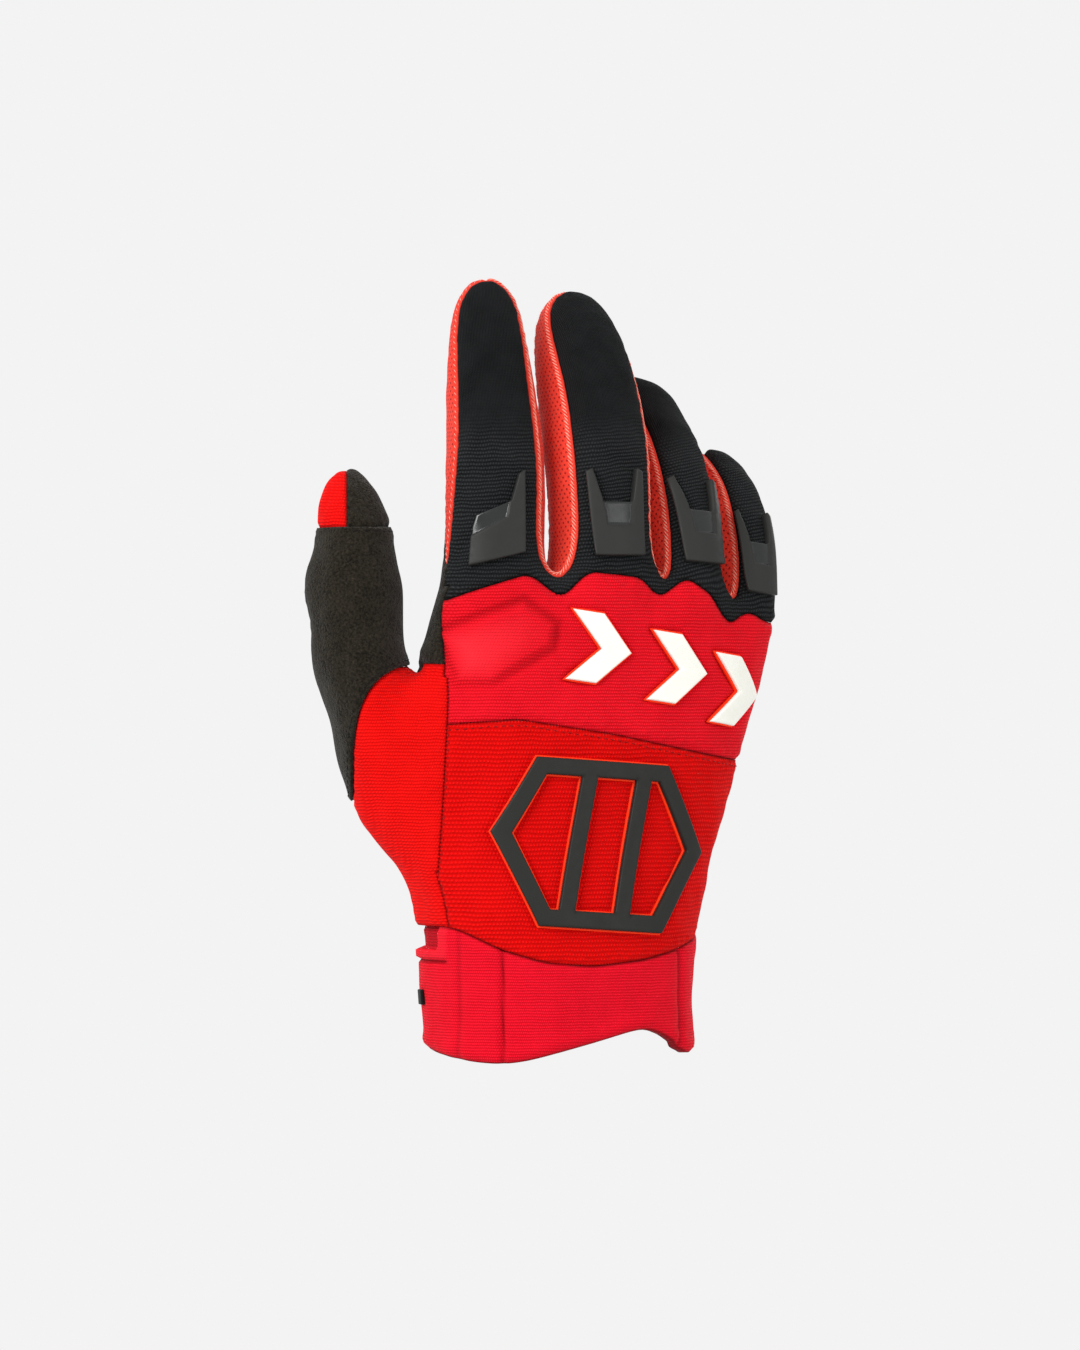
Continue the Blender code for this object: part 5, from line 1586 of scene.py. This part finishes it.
# Guards: a rubber slab over each finger with a glossy window let into it
for guard_name, (spot, lean, width, high, outline, window) in GUARDS.items():
    sizes = (width * guard_width, high * guard_height, lean)
    window_loops = [scaled(window, *sizes)]
    window_line = line_points(window_loops[0], 0.5 * MM)
    window_lines = [inset(window_line, slope) for slope in (-window_slope, window_slope)]

    def guard_top(flat, inside):
        let_in = ease(0.5 + 0.5 * loop_distance(flat, window_loops) / window_slope)
        return rounded(inside, guard_top_height, 0.4 * MM) - window_depth * let_in

    guard_loops = [scaled(outline, *sizes)]
    solid_points, faces, flat = moulded(
        skin, guard_loops, across_up(*spot), 0.6 * MM, guard_top, 0.55 * MM, creases=window_lines
    )
    middles = np.tile(flat, (2, 1))[faces].mean(axis=1)
    tops = (faces >= len(flat)).all(axis=1)
    glossy = tops & (loop_distance(middles, window_loops) > 0.9 * window_slope)
    both_looks = [looks["guard_rubber"], looks["guard_gloss"]]
    add_piece(
        guard_name + "_moulding", solid_points, faces, both_looks, [guard_name], glossy
    )


def add_slab(name, loops, spot, sizes, look, nodes=(), slot=None, ring_steps=(0.15, 0.4, 0.8)):
    """A moulded piece of one thickness in its look. slot is not used.

    sizes holds how deep the foot lies, the thickness, the bevel and the step.
    """
    sunk, thickness, bevel, step = sizes

    def top(flat, inside):
        return rounded(inside, thickness, bevel)

    solid_points, faces, _ = moulded(skin, loops, spot, sunk, top, step, ring_steps)
    add_piece(name, solid_points, faces, [looks[look]], nodes)


# The raised bars and the badge, each with the thin bright edge of the film that it is set on
bar_sizes = (1.2 * MM, motif_thickness, 0.45 * MM, 0.6 * MM)
badge_sizes = (0.8 * MM, badge_thickness, 0.6 * MM, 0.7 * MM)
film_sizes = (0.8 * MM, 0.35 * MM, 0.2 * MM, 0.9 * MM)
for bar_name, bar in bars.items():
    add_slab(bar_name + "_moulding", bar["loops"], bar["spot"], bar_sizes, "white_rubber", [bar_name])
add_slab("badge_moulding", badge["loops"], badge["spot"], badge_sizes, "badge_rubber", ["back_badge"])
for film_name, piece in (("badge", badge), *bars.items()):
    film_loops = [inset(line_points(loop, 2.0 * MM), -0.50 * MM) for loop in piece["loops"]]
    film = (film_name + "_film", film_loops, piece["spot"], film_sizes)
    add_slab(*film, "badge_edge", slot="badge_rubber", ring_steps=(0.15, 0.3))

# Each object of threads: its look, its slot and its rows. A row has the panels that it lies on, the panels
# beyond the seam, how many places of the line it leaves out, the least height of a line as a share of
# glove_height, the slant in degrees, and pitch, length, distance from the seam and radius in millimetres.
FOURCHETTES = ("fourchette_index_middle", "fourchette_middle_ring", "fourchette_ring_little")
SIDE_STRIPS = ("side_strip_index", "side_strip_little")
BACKS_AND_PALM = ("finger_backs", "palm")
above_hem = hem_up - 0.02
THREADS = {
    "fourchette_threads": ("pink_thread", "red_mesh", (
        (FOURCHETTES, BACKS_AND_PALM, 0, 0.0, 42.0, 1.25, 2.6, 1.25, 0.17),
        (SIDE_STRIPS, BACKS_AND_PALM, 0, 0.0, 35.0, 1.8, 1.2, 0.7, 0.12),
    )),
    "fourchette_threads_red": ("orange_thread", "red_mesh", (
        (FOURCHETTES, BACKS_AND_PALM, 1, 0.0, 42.0, 0.95, 2.8, 1.45, 0.15),
    )),
    "thumb_threads": ("black_thread", "black_suede", (
        (("thumb_wrap",), ("thumb_front", "thumb_back"), 0, above_hem, 0.0, 3.0, 2.3, 1.3, 0.22),
        (("thumb_wrap",), ("thumb_gusset",), 0, 0.0, 0.0, 2.6, 1.9, 1.6, 0.16),
    )),
    "hand_back_threads": ("dark_red_thread", "scarlet_knit", (
        (("hand_back",), ("knuckle_panel",), 0, 0.0, 0.0, 2.3, 1.4, 1.7, 0.19),
        (("hand_back",), ("thumb_gusset",), 0, 0.0, 0.0, 2.2, 1.1, 0.55, 0.13),
    )),
}
for thread_name, (look_name, slot, rows) in THREADS.items():
    threads = Threads()
    for carriers, others, left_out, lowest, slant, *sizes in rows:
        for carrier in carriers:
            for other in others:
                for line in seam_lines(panels[carrier], panels[other]):
                    if line[:, 2].mean() > lowest * glove_height:
                        threads.row(panels[carrier], line[left_out:], slant, *(s * MM for s in sizes))
    add_piece(thread_name, np.array(threads.points), threads.faces, [looks[look_name]])

# The pull tab: a folded bit of tape
tab_spot = (tab_across * wrist_breadth, tab_up * glove_height)
tab_sizes = (0.6 * MM, tab_thickness + trim_gap, 0.3 * MM, 0.5 * MM)
tab_loops = [scaled(SQUARE, tab_width, tab_length)]
tab = ("pull_tab_tape", tab_loops, tab_spot, tab_sizes)
add_slab(*tab, "black_thread", ["pull_tab"], "black_knit", (0.15, 0.3))

# The floor, the light and the camera
pale = (0.896, 0.896, 0.896)
floor_mesh = bpy.data.meshes.new("floor")
floor_mesh.from_pydata([(-9, -9, -0.13), (9, -9, -0.13), (9, 9, -0.13), (-9, 9, -0.13)], [], [(0, 1, 2, 3)])
floor_look = Look(
    "look_floor", (0.0, 0.0, 0.0), 1.0, Specular_IOR_Level=0.0, Emission_Color=pale, Emission_Strength=1.0
)
floor_mesh.materials.append(floor_look.material)
add_object("floor", floor_mesh)

world = bpy.data.worlds.new("studio")
bpy.context.scene.world = world
world.use_nodes = True
world.node_tree.nodes["Background"].inputs["Color"].default_value = (*pale, 1.0)
world.node_tree.nodes["Background"].inputs["Strength"].default_value = 1.0

# The middle of the picture as seen by the camera, in metres: across and up
view_middle = np.array([[-0.006, 0.0, 0.1125]])
picture_height = 0.405
camera_distance = 2.2
target = Vector(turned(view_middle)[0])
away = Vector((math.sin(view_turn), math.cos(view_turn), 0.0))
right = Vector((math.cos(view_turn), -math.sin(view_turn), 0.0))

camera_data = bpy.data.cameras.new("camera")
camera_data.sensor_fit = "VERTICAL"
camera_data.sensor_height = 36.0
camera_data.lens = 36.0 * camera_distance / picture_height
camera_data.clip_end = 50.0
camera = add_object("camera", camera_data)
camera.location = target - away * camera_distance
camera.rotation_euler = away.to_track_quat("-Z", "Y").to_euler()
bpy.context.scene.camera = camera
bpy.context.scene.view_settings.view_transform = "Standard"

# Soft lights: distance to the right, towards the camera and up from the target, size and power
LIGHTS = {
    "key": (-0.9, 1.0, 0.7, 0.7, 16.0),
    "fill": (1.1, 1.1, 0.2, 0.9, 4.0),
    "back": (0.6, -1.2, 0.6, 0.9, 6.0),
}
for light_name, (sideways, near, up, size, power) in LIGHTS.items():
    light_data = bpy.data.lights.new(light_name, "AREA")
    light_data.size = size
    light_data.energy = power
    light = add_object(light_name, light_data)
    light.location = target + right * sideways - away * near + Vector((0.0, 0.0, up))
    light.rotation_euler = (target - light.location).to_track_quat("-Z", "Y").to_euler()
